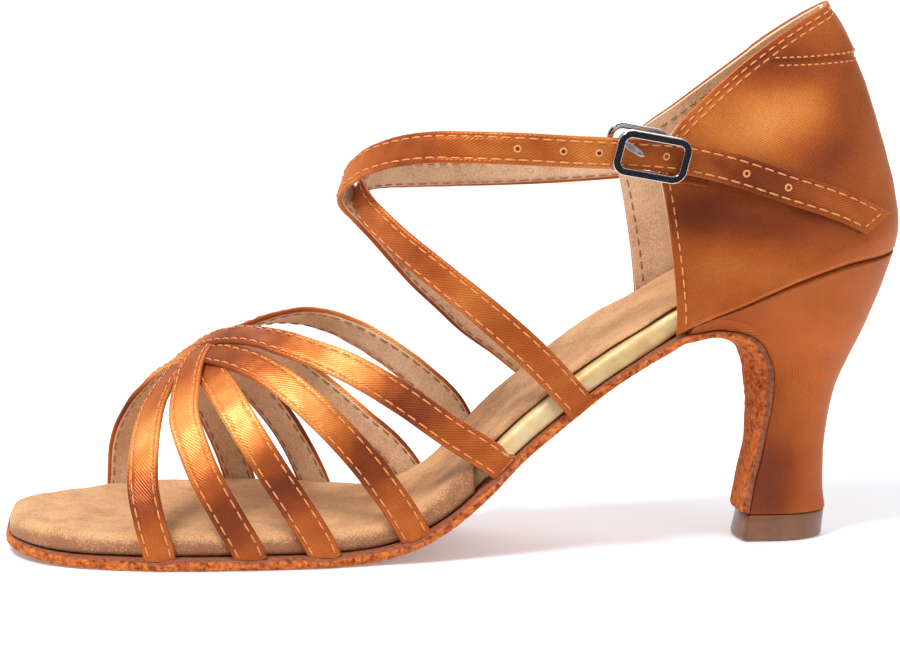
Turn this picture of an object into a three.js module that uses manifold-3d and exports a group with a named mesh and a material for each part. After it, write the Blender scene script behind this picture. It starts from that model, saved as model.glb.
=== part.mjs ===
// A ballroom dance sandal for the left foot, in millimetres, +Z up.
// The origin is on the floor under the middle of the heel tip.
// The toe points to -X and the outer side of the foot is -Y.
import * as THREE from 'three';
import { mergeVertices } from 'three/addons/utils/BufferGeometryUtils.js';
import Module from 'manifold-3d';

const wasm = await Module();
wasm.setup();

// Driving sizes
const length = 226;            // back of the heel to the toe
const ballWidth = 75;          // over the sole at the ball
const seatHeight = 73.6;       // floor to the heel seat, at the back
const collarHeight = 136.6;    // floor to the top of the back
const instepHeight = 0.769 * collarHeight;  // floor to the strap in front of the ankle
const vampHeight = 58;         // floor to the highest toe strap
const heelBack = 29.4;         // heel tip's middle to the furthest back point
const seatWidth = 49.6;        // over the heel seat
const tipHeight = 7;           // top piece
const tipLength = 20.5;        // top piece, along the shoe
const tipWidth = 19;           // top piece, across the shoe
const soleThickness = 3;       // sole edge at the forefoot
const flapThickness = 1.8;     // suede on the heel breast
const welt = 2.6;              // sole edge beyond the sock, at the forefoot
const sockHeight = 5.8;        // padded sock, above the sole, at the forefoot
const waistPad = 7;            // board and sock, above the sole, in the waist
const sockSheet = 1.4;         // sock where it lies on the board
const rimRoll = 2.4;           // rolled rim of the sock, across
const toeOver = 0.8;           // sock beyond the sole at the toe
const quarterWall = 2;         // quarter with its lining
const tabRise = 0.5;           // back tab over the quarter
const strapWidth = 8;
const strapThickness = 1.6;
const knotLift = 1.7;          // second toe strap over the others
const gap = 0.3;               // between pieces that touch
const frameLength = 19.4;      // buckle frame, along the strap
const frameWidth = 11.8;       // buckle frame, across the strap
const hookLength = 16.1;       // back frame, along the strap
const frameBar = 2;
const frameDepth = 1.5;
const hookShift = 3.2;         // back frame ahead of the front one
const prongWidth = 2.2;
const loopWidth = 6;           // stay that holds the buckle
const loopThickness = 1;

// The sole's edge, from the toe back to the waist.
// along: share of length from the heel's back; rise: its lower edge, share of seatHeight;
// outer, inner: shares of ballWidth from the middle line; edge: share of soleThickness;
// belly: how far the middle bulges down beyond the edge, share of soleThickness.
const footRows = [
  { along: 1.000, rise: 0.0364, outer: 0.000, inner: 0.130, belly: 0, edge: 0.80 },
  { along: 0.996, rise: 0.0313, outer: 0.073, inner: 0.205, belly: 0, edge: 0.85 },
  { along: 0.988, rise: 0.0253, outer: 0.130, inner: 0.262, belly: 0, edge: 0.90 },
  { along: 0.975, rise: 0.0172, outer: 0.186, inner: 0.323, belly: 0, edge: 0.95 },
  { along: 0.955, rise: 0.0082, outer: 0.240, inner: 0.398, belly: 0, edge: 1 },
  { along: 0.925, rise: 0.0027, outer: 0.292, inner: 0.478, belly: 0, edge: 1 },
  { along: 0.885, rise: 0, outer: 0.333, inner: 0.555, belly: 0, edge: 1 },
  { along: 0.838, rise: 0, outer: 0.364, inner: 0.604, belly: 0, edge: 1 },
  { along: 0.776, rise: 0, outer: 0.381, inner: 0.619, belly: 0, edge: 1 },
  { along: 0.714, rise: 0, outer: 0.384, inner: 0.597, belly: 0, edge: 1 },
  { along: 0.652, rise: 0, outer: 0.373, inner: 0.531, belly: 0, edge: 1 },
  { along: 0.603, rise: 0.0092, outer: 0.353, inner: 0.451, belly: 0.1, edge: 1 },
  { along: 0.562, rise: 0.0392, outer: 0.338, inner: 0.386, belly: 0.3, edge: 0.95 },
  { along: 0.520, rise: 0.1073, outer: 0.330, inner: 0.342, belly: 0.6, edge: 0.9 },
  { along: 0.480, rise: 0.2095, outer: 0.324, inner: 0.324, belly: 0.8, edge: 0.87 },
  { along: 0.442, rise: 0.3305, outer: 0.322, inner: 0.316, belly: 0.8, edge: 0.87 },
  { along: 0.389, rise: 0.4675, outer: 0.322, inner: 0.312, belly: 0.8, edge: 0.87 },
  { along: 0.350, rise: 0.5621, outer: 0.322, inner: 0.312, belly: 0.8, edge: 0.83 },
  { along: 0.310, rise: 0.6434, outer: 0.322, inner: 0.316, belly: 0.8, edge: 0.8 },
  { along: 0.282, rise: 0.6914, outer: 0.317, inner: 0.314, belly: 0.8, edge: 0.75 },
];

// The heel, from its tip up to the lip under the waist.
// along, up: breast's edge; backAlong, backUp: back curve, shares of length and seatHeight;
// corner, half: half the breast and half the heel at its widest, shares of seatWidth;
// bow, belly: bulge of the breast and of the flap over it, shares of flapThickness.
const heelRows = [
  { along: 0.171, up: 0.100, backAlong: 0.0790, backUp: 0.100, corner: 0.188, half: 0.192, bow: 0.8, belly: 0.8 },
  { along: 0.1665, up: 0.196, backAlong: 0.0820, backUp: 0.186, corner: 0.188, half: 0.186, bow: 0.5, belly: 0.5 },
  { along: 0.159, up: 0.296, backAlong: 0.0815, backUp: 0.292, corner: 0.190, half: 0.186, bow: 0.6, belly: 0.6 },
  { along: 0.1527, up: 0.398, backAlong: 0.0780, backUp: 0.400, corner: 0.194, half: 0.194, bow: 1.3, belly: 1.3 },
  { along: 0.1470, up: 0.499, backAlong: 0.0700, backUp: 0.520, corner: 0.202, half: 0.214, bow: 2.1, belly: 2.1 },
  { along: 0.1460, up: 0.580, backAlong: 0.0570, backUp: 0.616, corner: 0.212, half: 0.246, bow: 2.5, belly: 2.5 },
  { along: 0.1530, up: 0.662, backAlong: 0.0425, backUp: 0.706, corner: 0.232, half: 0.298, bow: 2.4, belly: 2.4 },
  { along: 0.1673, up: 0.718, backAlong: 0.0290, backUp: 0.788, corner: 0.268, half: 0.354, bow: 1.9, belly: 1.9 },
  { along: 0.1920, up: 0.754, backAlong: 0.0170, backUp: 0.860, corner: 0.326, half: 0.408, bow: 1.3, belly: 1.3 },
  { along: 0.2210, up: 0.767, backAlong: 0.0090, backUp: 0.928, corner: 0.388, half: 0.456, bow: 0.7, belly: 0.8 },
  { along: 0.2500, up: 0.762, backAlong: 0.0045, backUp: 0.996, corner: 0.460, half: 0.500, bow: 0.2, belly: 1.35 },
];

// The seat line carries the board on from the waist over the heel.
const seatRows = [
  { along: 0.2520, up: 0.777 },
  { along: 0.2239, up: 0.819 },
  { along: 0.1956, up: 0.853 },
  { along: 0.1624, up: 0.897 },
  { along: 0.1288, up: 0.9375 },
  { along: 0.0942, up: 0.970 },
  { along: 0.0580, up: 0.992 },
  { along: 0.0044, up: 1.000 },
];

// Height of the toe box that the toe straps lie on, as a share of vampHeight.
const crestRows = [
  { along: 0.971, crest: 0.38 },
  { along: 0.909, crest: 0.49 },
  { along: 0.851, crest: 0.615 },
  { along: 0.785, crest: 0.785 },
  { along: 0.736, crest: 0.888 },
  { along: 0.688, crest: 0.958 },
  { along: 0.626, crest: 1.035 },
  { along: 0.564, crest: 1.110 },
  { along: 0.502, crest: 1.190 },
  { along: 0.440, crest: 1.270 },
];
const archRound = 2.35;        // squareness of the toe box in section
const archPeak = 0.175;        // its ridge moved to the inner side, as a share of half its width

// Toe straps from the outer sole edge to the inner one.
// around: share of the way round the toe box; lift: share of knotLift.
const toeStraps = [
  [
    { along: 0.838, around: 0.000, lift: 0 }, { along: 0.847, around: 0.065, lift: 0 },
    { along: 0.853, around: 0.155, lift: 0 }, { along: 0.848, around: 0.273, lift: 0 },
    { along: 0.837, around: 0.374, lift: 0 }, { along: 0.819, around: 0.455, lift: 0 },
    { along: 0.795, around: 0.525, lift: 0 }, { along: 0.745, around: 0.640, lift: 0 },
    { along: 0.668, around: 0.795, lift: 0 }, { along: 0.600, around: 0.895, lift: 0 },
    { along: 0.560, around: 0.940, lift: 0 }, { along: 0.530, around: 0.985, lift: 0 },
  ],
  [
    { along: 0.739, around: 0.000, lift: 0 }, { along: 0.761, around: 0.051, lift: 0 },
    { along: 0.784, around: 0.126, lift: 0 }, { along: 0.802, around: 0.250, lift: 0.4 },
    { along: 0.799, around: 0.332, lift: 0.9 }, { along: 0.788, around: 0.420, lift: 1 },
    { along: 0.768, around: 0.500, lift: 0.5 }, { along: 0.728, around: 0.560, lift: 0 },
    { along: 0.679, around: 0.615, lift: 0 }, { along: 0.630, around: 0.688, lift: 0 },
    { along: 0.578, around: 0.768, lift: 0 }, { along: 0.528, around: 0.840, lift: 0 },
    { along: 0.495, around: 0.888, lift: 0 }, { along: 0.478, around: 0.930, lift: 0 },
    { along: 0.470, around: 0.955, lift: 0 },
  ],
  [
    { along: 0.657, around: 0.000, lift: 0 }, { along: 0.684, around: 0.051, lift: 0 },
    { along: 0.714, around: 0.120, lift: 0 }, { along: 0.742, around: 0.210, lift: 0 },
    { along: 0.767, around: 0.340, lift: 0 }, { along: 0.777, around: 0.430, lift: 0 },
    { along: 0.782, around: 0.520, lift: 0 }, { along: 0.765, around: 0.650, lift: 0 },
    { along: 0.722, around: 0.800, lift: 0 }, { along: 0.672, around: 0.920, lift: 0 },
    { along: 0.639, around: 1.000, lift: 0 },
  ],
  [
    { along: 0.548, around: 0.000, lift: 0 }, { along: 0.600, around: 0.088, lift: 0 },
    { along: 0.661, around: 0.200, lift: 0 }, { along: 0.714, around: 0.310, lift: 0.1 },
    { along: 0.754, around: 0.398, lift: 0.4 }, { along: 0.784, around: 0.485, lift: 0.4 },
    { along: 0.814, around: 0.600, lift: 0.2 }, { along: 0.842, around: 0.710, lift: 0 },
    { along: 0.859, around: 0.820, lift: 0 }, { along: 0.864, around: 0.905, lift: 0 },
    { along: 0.865, around: 1.000, lift: 0 },
  ],
  [
    { along: 0.450, around: 0.072, lift: 0 }, { along: 0.516, around: 0.130, lift: 0 },
    { along: 0.570, around: 0.195, lift: 0 }, { along: 0.632, around: 0.278, lift: 0.2 },
    { along: 0.688, around: 0.358, lift: 0.6 }, { along: 0.739, around: 0.452, lift: 1 },
    { along: 0.778, around: 0.545, lift: 0.7 }, { along: 0.793, around: 0.640, lift: 0.2 },
    { along: 0.785, around: 0.745, lift: 0 }, { along: 0.760, around: 0.860, lift: 0 },
    { along: 0.725, around: 1.000, lift: 0 },
  ],
];

// The inner strap A runs from the outer waist over the instep to the quarter's inner side.
// up: share of instepHeight; across: share of legWidth, outer side negative.
const strapARows = [
  { along: 0.358, up: 0.335, across: -0.342 },
  { along: 0.385, up: 0.405, across: -0.346 },
  { along: 0.426, up: 0.502, across: -0.350 },
  { along: 0.478, up: 0.603, across: -0.320 },
  { along: 0.527, up: 0.687, across: -0.253 },
  { along: 0.575, up: 0.769, across: -0.120 },
  { along: 0.601, up: 0.828, across: 0.000 },
  { along: 0.603, up: 0.857, across: 0.107 },
  { along: 0.583, up: 0.873, across: 0.213 },
  { along: 0.523, up: 0.867, across: 0.320 },
  { along: 0.441, up: 0.864, across: 0.373 },
  { along: 0.360, up: 0.870, across: 0.373 },
];
// Where strap A lies on the quarter's inner side.
const strapAEnd = [
  { along: 0.285, up: 0.885 },
  { along: 0.235, up: 0.890 },
];

// The outer strap B runs from the inner waist over strap A to the buckle and on along the quarter.
const strapBRows = [
  { along: 0.398, up: 0.372, across: 0.343 },
  { along: 0.415, up: 0.405, across: 0.345 },
  { along: 0.433, up: 0.438, across: 0.347 },
  { along: 0.468, up: 0.494, across: 0.347 },
  { along: 0.498, up: 0.556, across: 0.333 },
  { along: 0.534, up: 0.633, across: 0.293 },
  { along: 0.573, up: 0.730, across: 0.220 },
  { along: 0.603, up: 0.803, across: 0.155 },
  { along: 0.622, up: 0.855, across: 0.075 },
  { along: 0.617, up: 0.905, across: -0.025 },
  { along: 0.592, up: 0.955, across: -0.140 },
  { along: 0.543, up: 0.993, across: -0.280 },
  { along: 0.494, up: 1.000, across: -0.353 },
  { along: 0.443, up: 0.998, across: -0.380 },
  { along: 0.392, up: 0.992, across: -0.392 },
  { along: 0.352, up: 0.987, across: -0.390 },
  { along: 0.299, up: 0.980, across: -0.382 },
];
// Where strap B's tail lies on the quarter's outer side.
const strapBEnd = [
  { along: 0.256, up: 0.960, lift: 3.0 },
  { along: 0.200, up: 0.928, lift: 1.6 },
  { along: 0.149, up: 0.890, lift: 0.5 },
  { along: 0.084, up: 0.839, lift: 0 },
  { along: 0.040, up: 0.788, lift: 0 },
];
const buckleAlong = 0.303;     // buckle's middle, share of length
const buckleTilt = 6;          // degrees that the buckle hangs down towards the back
// Where the buckle's stay lies on the quarter.
const loopRows = [
  { along: 0.272, up: 0.925 },
  { along: 0.252, up: 0.920 },
  { along: 0.232, up: 0.912 },
];

// The quarter, from the back round to the front edge of one side. seat: share of the seat's outline
// from its front; rim: the collar, with along and across as shares of length and seatWidth.
const outerQuarter = [
  { round: 0.00, seat: 1.000, rimAlong: 0.0845, rimAcross: 0.000, rimUp: 1.000 },
  { round: 0.12, seat: 0.978, rimAlong: 0.0900, rimAcross: 0.085, rimUp: 0.994 },
  { round: 0.25, seat: 0.903, rimAlong: 0.1120, rimAcross: 0.152, rimUp: 0.977 },
  { round: 0.40, seat: 0.760, rimAlong: 0.1450, rimAcross: 0.222, rimUp: 0.947 },
  { round: 0.60, seat: 0.490, rimAlong: 0.1880, rimAcross: 0.300, rimUp: 0.901 },
  { round: 0.80, seat: 0.225, rimAlong: 0.2330, rimAcross: 0.378, rimUp: 0.842 },
  { round: 0.93, seat: 0.035, rimAlong: 0.2680, rimAcross: 0.440, rimUp: 0.785 },
  { round: 1.00, seat: -0.055, rimAlong: 0.2850, rimAcross: 0.476, rimUp: 0.722 },
];
const innerQuarter = [
  { round: 0.00, seat: 1.000, rimAlong: 0.0845, rimAcross: 0.000, rimUp: 1.000 },
  { round: 0.12, seat: 0.978, rimAlong: 0.0880, rimAcross: 0.085, rimUp: 0.992 },
  { round: 0.25, seat: 0.903, rimAlong: 0.1050, rimAcross: 0.165, rimUp: 0.972 },
  { round: 0.40, seat: 0.760, rimAlong: 0.1380, rimAcross: 0.240, rimUp: 0.933 },
  { round: 0.60, seat: 0.490, rimAlong: 0.1850, rimAcross: 0.322, rimUp: 0.870 },
  { round: 0.80, seat: 0.225, rimAlong: 0.2400, rimAcross: 0.405, rimUp: 0.795 },
  { round: 0.93, seat: -0.020, rimAlong: 0.2840, rimAcross: 0.455, rimUp: 0.735 },
  { round: 1.00, seat: -0.135, rimAlong: 0.3040, rimAcross: 0.484, rimUp: 0.680 },
];
// How far the wall has gone from its seat outline to its collar outline at each height.
const leanRows = [
  { rise: 0.00, lean: 0.000 },
  { rise: 0.10, lean: -0.050 },
  { rise: 0.24, lean: 0.010 },
  { rise: 0.40, lean: 0.133 },
  { rise: 0.60, lean: 0.350 },
  { rise: 0.77, lean: 0.570 },
  { rise: 0.88, lean: 0.740 },
  { rise: 1.00, lean: 1.000 },
];
const tabHeight = 0.905;       // back tab's seam, share of collarHeight
const tabRound = 0.5;          // where the tab's seam meets the collar
const seamTop = 0.94;          // highest place of the seam, share of the wall

// Where the sock's rim steps up from the sole and the gold board steps out, shares of length.
const wrapStart = 0.486;
const wrapEnd = 0.472;
const goldStart = 0.458;
const padThin = 0.54;          // the pad grows thicker from here to padThick
const padThick = 0.42;
const waistBack = 0.31;        // the board draws in from here to seatStart
const seatStart = 0.265;
const boardFront = 0.966;      // the board's hidden toe end
const goldShown = 3.6;         // sole edge to sock in the waist
const boardInset = 0.7;        // sole edge to board in the waist
const seatInset = 1.2;         // board to sock over the heel
const toeReach = 26;           // length over which the sock's toe is rounded
const toePower = 0.7;
const boardReach = 22;         // the same for the board
const leastHalf = 0.6;         // half the width where a rounded end closes
const rimRoom = 14;          // the rim draws in where the sock is narrower

const vec = (x, y, z) => new THREE.Vector3(x, y, z);
const mix = THREE.MathUtils.lerp;
const clamp01 = (value) => THREE.MathUtils.clamp(value, 0, 1);
const xAt = (along) => heelBack - along * length;

// Slopes of a smooth curve that never passes above or below its own points.
function easySlopes(places, values) {
  const steps = values.slice(1).map((v, i) => (v - values[i]) / (places[i + 1] - places[i]));
  return values.map((value, i) => {
    if (i === 0) return steps[0];
    if (i === values.length - 1) return steps[i - 1];
    const before = steps[i - 1];
    const after = steps[i];
    return before * after <= 0 ? 0 : (2 * before * after) / (before + after);
  });
}

// A table's columns as smooth functions of a place that rises from row to row.
function smoothRows(places, rows) {
  const names = Object.keys(rows[0]);
  const columns = names.map((name) => rows.map((row) => row[name]));
  const slopes = columns.map((column) => easySlopes(places, column));
  return (place) => {
    let i = 0;
    while (i < places.length - 2 && place > places[i + 1]) i += 1;
    const span = places[i + 1] - places[i];
    const t = clamp01((place - places[i]) / span);
    const row = {};
    names.forEach((name, k) => {
      const [a, b] = [columns[k][i], columns[k][i + 1]];
      const [ma, mb] = [slopes[k][i] * span, slopes[k][i + 1] * span];
      row[name] = (2 * t ** 3 - 3 * t ** 2 + 1) * a + (t ** 3 - 2 * t ** 2 + t) * ma
        + (3 * t ** 2 - 2 * t ** 3) * b + (t ** 3 - t ** 2) * mb;
    });
    return row;
  };
}

// A curve in the side view through rows of x and z, with its other columns and its normal.
function sideLine(rows) {
  const places = [0];
  for (let i = 1; i < rows.length; i += 1) {
    places.push(places[i - 1] + Math.hypot(rows[i].x - rows[i - 1].x, rows[i].z - rows[i - 1].z));
  }
  const at = smoothRows(places, rows);
  const end = places[places.length - 1];
  const near = end / 2000;
  const frame = (place) => {
    const row = at(place);
    const a = at(Math.max(0, place - near));
    const b = at(Math.min(end, place + near));
    const run = Math.hypot(b.x - a.x, b.z - a.z);
    return { ...row, nx: -(b.z - a.z) / run, nz: (b.x - a.x) / run };
  };
  const atX = (x) => {
    let [low, high] = [0, end];
    for (let i = 0; i < 40; i += 1) {
      const middle = (low + high) / 2;
      if (at(middle).x < x) low = middle;
      else high = middle;
    }
    return frame((low + high) / 2);
  };
  return { places, end, frame, atX };
}

// A closed solid through rings. Each ring is a left row and a right row of points, of equal length,
// and the ends are closed by strips between the two rows.
function loft(rings) {
  const count = rings[0].left.length;
  const size = 2 * count;
  const positions = [];
  for (const ring of rings) {
    for (const point of [...ring.left, ...ring.right.slice().reverse()]) positions.push(...point);
  }
  const index = [];
  const quad = (a, b, c, d) => index.push(a, b, c, a, c, d);
  for (let r = 0; r < rings.length - 1; r += 1) {
    for (let i = 0; i < size; i += 1) {
      const next = (i + 1) % size;
      quad(r * size + i, r * size + next, (r + 1) * size + next, (r + 1) * size + i);
    }
  }
  const last = (rings.length - 1) * size;
  for (let i = 0; i < count - 1; i += 1) {
    const other = size - 1 - i;
    quad(i, other, other - 1, i + 1);
    quad(last + i, last + i + 1, last + other - 1, last + other);
  }
  const geometry = new THREE.BufferGeometry();
  geometry.setAttribute('position', new THREE.Float32BufferAttribute(positions, 3));
  geometry.setIndex(index);
  if (volume(geometry) < 0) geometry.setIndex(index.reverse());
  return geometry;
}

function volume(geometry) {
  const position = geometry.attributes.position;
  const index = geometry.index.array;
  const [a, b, c] = [vec(), vec(), vec()];
  let sum = 0;
  for (let i = 0; i < index.length; i += 3) {
    a.fromBufferAttribute(position, index[i]);
    b.fromBufferAttribute(position, index[i + 1]);
    c.fromBufferAttribute(position, index[i + 2]);
    sum += a.dot(b.cross(c)) / 6;
  }
  return sum;
}

function toSolid(geometry) {
  const bare = geometry.clone();
  bare.deleteAttribute('normal');
  bare.deleteAttribute('uv');
  const merged = mergeVertices(bare);
  return new wasm.Manifold(new wasm.Mesh({
    numProp: 3,
    vertProperties: new Float32Array(merged.attributes.position.array),
    triVerts: new Uint32Array(merged.index.array),
  }));
}

// The body of a solid that holds most of it, without slivers that a cut left behind.
function mainBody(solid) {
  const bodies = solid.decompose();
  return bodies.reduce((best, body) => (body.volume() > best.volume() ? body : best));
}

function toGeometry(solid) {
  const mesh = solid.getMesh();
  const geometry = new THREE.BufferGeometry();
  const points = new Float32Array(mesh.vertProperties);
  geometry.setAttribute('position', new THREE.Float32BufferAttribute(points, 3));
  geometry.setIndex([...mesh.triVerts]);
  return geometry;
}

// Sole

const footSide = footRows.map((row) => ({
  x: xAt(row.along),
  z: row.rise * seatHeight + row.edge * soleThickness,
  outer: row.outer * ballWidth,
  inner: row.inner * ballWidth,
  belly: row.belly * soleThickness,
  bow: 0,
  edge: row.edge * soleThickness,
}));
const heelSide = heelRows.map((row) => ({
  x: xAt(row.along),
  z: row.up * seatHeight,
  outer: row.corner * seatWidth,
  inner: row.corner * seatWidth,
  belly: row.belly * flapThickness,
  bow: row.bow * flapThickness,
  edge: flapThickness,
}));
const soleLine = sideLine([...footSide, ...heelSide.slice().reverse()]);
const soleAcross = [-1, -0.95, -0.75, -0.4, 0, 0.4, 0.75, 0.95, 1];
const edgeRound = 0.25;        // worn off the sole's edge

// A point across the shoe at a place on a side line: q from -1 outer to 1 inner, up along the normal.
function across(frame, q, up, outer = frame.outer, inner = frame.inner) {
  const y = (inner - outer) / 2 + (q * (inner + outer)) / 2;
  return vec(frame.x + frame.nx * up, y, frame.z + frame.nz * up);
}

// Evenly spaced places between the rows of a line.
function placesOn(line, from, to, step) {
  const places = [];
  for (let i = 0; i < line.places.length - 1; i += 1) {
    const [a, b] = [line.places[i], line.places[i + 1]];
    if (b <= from || a >= to) continue;
    const count = Math.max(1, Math.round((b - a) / step));
    for (let k = 0; k < count; k += 1) places.push(a + ((b - a) * k) / count);
  }
  places.push(Math.min(to, line.end));
  return places.filter((place) => place >= from);
}

function outsole(grow = 0) {
  const rings = placesOn(soleLine, 0, soleLine.end, 6).map((place) => {
    const frame = soleLine.frame(place);
    const [outer, inner] = [frame.outer + grow, frame.inner + grow];
    const left = [];
    const right = [];
    for (const q of soleAcross) {
      const hump = 1 - q * q;
      const round = Math.abs(q) === 1 ? edgeRound : 0;
      left.push(across(frame, q, grow - frame.bow * hump - round, outer, inner));
      const depth = frame.edge + frame.belly * hump - round;
      right.push(across(frame, q, -grow - depth, outer, inner));
    }
    return { left, right };
  });
  return loft(rings);
}

// Board and sock

const seatFront = xAt(heelRows[heelRows.length - 1].along);
const seatBack = xAt(seatRows[seatRows.length - 1].along);
const seatCorner = heelRows[heelRows.length - 1].corner * seatWidth;

// Half the width of a heel section: a runs from 0 at the breast to 1 at the back.
const roundFrom = 0.35;
const halfAt = (a, corner, half) => {
  if (a < roundFrom) return corner + (half - corner) * Math.sin((Math.PI / 2) * clamp01(a / roundFrom));
  const t = clamp01((a - roundFrom) / (1 - roundFrom));
  return half * Math.sqrt(Math.max(0, 1 - t ** 2.2));
};
const seatHalf = (a) => halfAt(a, seatCorner, seatWidth / 2);

const seatSide = seatRows.map((row) => ({ x: xAt(row.along), z: row.up * seatHeight }));
const footOnly = footSide.map(({ x, z }) => ({ x, z }));
const boardLine = sideLine([...footOnly, ...seatSide]);
const footWidths = smoothRows(footSide.map((row) => row.x), footSide);
const boardClear = quarterWall + 3.5 * gap;
const boardBack = seatBack - boardClear;

// How far x lies between two places that are given as shares of length.
const between = (x, from, to) => clamp01((x - xAt(from)) / (xAt(to) - xAt(from)));

// Widths and heights of the board and the sock at a place along the shoe.
function padAt(x) {
  const foot = footWidths(x);
  const wrapped = 1 - between(x, wrapStart, wrapEnd);
  const hidden = 1 - between(x, wrapEnd, goldStart);
  const height = mix(sockHeight, waistPad, between(x, padThin, padThick));
  const boardHeight = height - sockSheet;
  const inSeat = between(x, waistBack, seatStart);
  const a = clamp01((x - seatFront) / (boardBack - seatFront));
  const seat = Math.max(1, seatHalf(a) - boardClear);
  const toeward = clamp01((x - padToe) / toeReach) ** toePower;
  const sides = ['outer', 'inner'].map((side) => {
    const sock = foot[side] - mix(goldShown, welt * toeward, hidden) + (1 - toeward) * toeOver;
    const board = foot[side] - mix(boardInset, welt + rimRoll + 2 * gap, hidden);
    return {
      sock: Math.max(leastHalf, mix(sock, seat - seatInset, inSeat)),
      board: Math.max(leastHalf, mix(board, seat, inSeat)),
    };
  });
  return { height, boardHeight, wrapped, outer: sides[0], inner: sides[1] };
}

const padToe = xAt(1) - toeOver;
const boardToe = xAt(boardFront);

// Closer sections where the board's back end is rounded.
const endSteps = [6, 3, 1.2, 0.3, 0];
function padPlaces(fromX) {
  const places = placesOn(boardLine, 0, boardLine.end, 8).map((place) => boardLine.frame(place).x);
  const extra = [fromX, fromX + 0.8, fromX + 2.5, xAt(wrapStart), xAt(wrapEnd), xAt(goldStart),
    ...endSteps.map((step) => boardBack - step)];
  return [...places, ...extra]
    .filter((x) => x >= fromX && x <= boardBack)
    .sort((a, b) => a - b)
    .filter((x, i, all) => i === 0 || x - all[i - 1] > 0.25);
}

// The toe end of the sock and board is rounded in plan with the sole.
function toeRound(x, fromX, width) {
  const t = clamp01((x - fromX) / boardReach);
  return Math.min(1, 0.3 + 0.7 * Math.sqrt(1 - (1 - t) ** 2)) * width;
}

// Edge sections. inset, under: across from the edge in rolls, above and below;
// top, bottom: heights as shares of what lies between the lower and the upper face.
const boardRim = [
  { inset: 0, top: 0.35, bottom: 0.15 },
  { inset: 0.25, top: 0.78, bottom: 0 },
  { inset: 1, top: 1, bottom: 0 },
];
const sockRim = [
  { inset: 0, top: 0.1, under: 0.5, bottom: 0 },
  { inset: 0.12, top: 0.62, under: 0.92, bottom: 0.15 },
  { inset: 0.5, top: 0.9, under: 1, bottom: 0.85 },
  { inset: 1.3, top: 1, under: 1.3, bottom: 1 },
];
const sockDip = 0.5;           // the sock's middle below its rim

function insole(grow = 0) {
  const rings = padPlaces(boardToe).map((x) => {
    const frame = boardLine.atX(x);
    const pad = padAt(x);
    const outer = toeRound(x, boardToe, pad.outer.board) + grow;
    const inner = mix(pad.inner.board, toeRound(x, boardToe, pad.inner.board), 0.6) + grow;
    const low = gap - grow;
    const high = Math.max(low + 0.8, pad.boardHeight + grow);
    const roll = Math.min(1.6, (outer + inner) * 0.2);
    const left = [];
    const right = [];
    for (const { inset, top, bottom } of boardRim) {
      const q = -1 + (2 * inset * roll) / (outer + inner);
      left.push(across(frame, q, mix(low, high, top), outer, inner));
      right.push(across(frame, q, mix(low, high, bottom), outer, inner));
    }
    left.push(across(frame, 0, high, outer, inner));
    right.push(across(frame, 0, low, outer, inner));
    for (const { inset, top, bottom } of boardRim.slice().reverse()) {
      const q = 1 - (2 * inset * roll) / (outer + inner);
      left.push(across(frame, q, mix(low, high, top), outer, inner));
      right.push(across(frame, q, mix(low, high, bottom), outer, inner));
    }
    return { left, right };
  });
  return loft(rings);
}

function sock(grow = 0) {
  const rings = padPlaces(padToe).map((x) => {
    const frame = boardLine.atX(x);
    const pad = padAt(x);
    const outer = pad.outer.sock + grow;
    const inner = pad.inner.sock + grow;
    const wide = outer + inner;
    const shelf = pad.boardHeight + gap - grow;
    const low = mix(shelf, gap - grow, pad.wrapped);
    const high = pad.height + grow;
    const roll = rimRoll * Math.min(1, wide / rimRoom);
    const left = [];
    const right = [];
    const edge = (side, { inset, top, under, bottom }) => {
      const [above, below] = [inset, under].map((share) => side * (1 - (2 * share * roll) / wide));
      left.push(across(frame, above, mix(low, high, top), outer, inner));
      right.push(across(frame, below, mix(low, shelf, bottom), outer, inner));
    };
    sockRim.forEach((row) => edge(-1, row));
    left.push(across(frame, 0, high - sockDip, outer, inner));
    right.push(across(frame, 0, shelf, outer, inner));
    sockRim.slice().reverse().forEach((row) => edge(1, row));
    return { left, right };
  });
  return loft(rings);
}

// Heel and its top piece

// Rows of one heel section, from the breast's middle round to the back's middle.
const seatBlend = 0.6;         // the sections bend to the seat from this share of the heel
const heelSteps = 18;          // sections up the heel
const breastShares = [0.3, 0.7, 1];
const sideShares = [0.1, 0.22, 0.36, 0.5, 0.63, 0.75, 0.85, 0.925, 0.975, 0.997];
function heelRing(front, back, corner, half, bow, normal, droop) {
  const rows = [-1, 1].map((side) => {
    const row = breastShares.map((q) => {
      const out = bow * (1 - q * q);
      return vec(front.x - normal.x * out, side * corner * q, front.z - normal.z * out);
    });
    for (const a of sideShares) {
      const x = mix(front.x, back.x, a);
      row.push(vec(x, side * halfAt(a, corner, half), mix(front.z, back.z, a) + droop(x)));
    }
    return row;
  });
  return { left: rows[0], right: rows[1] };
}

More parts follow.
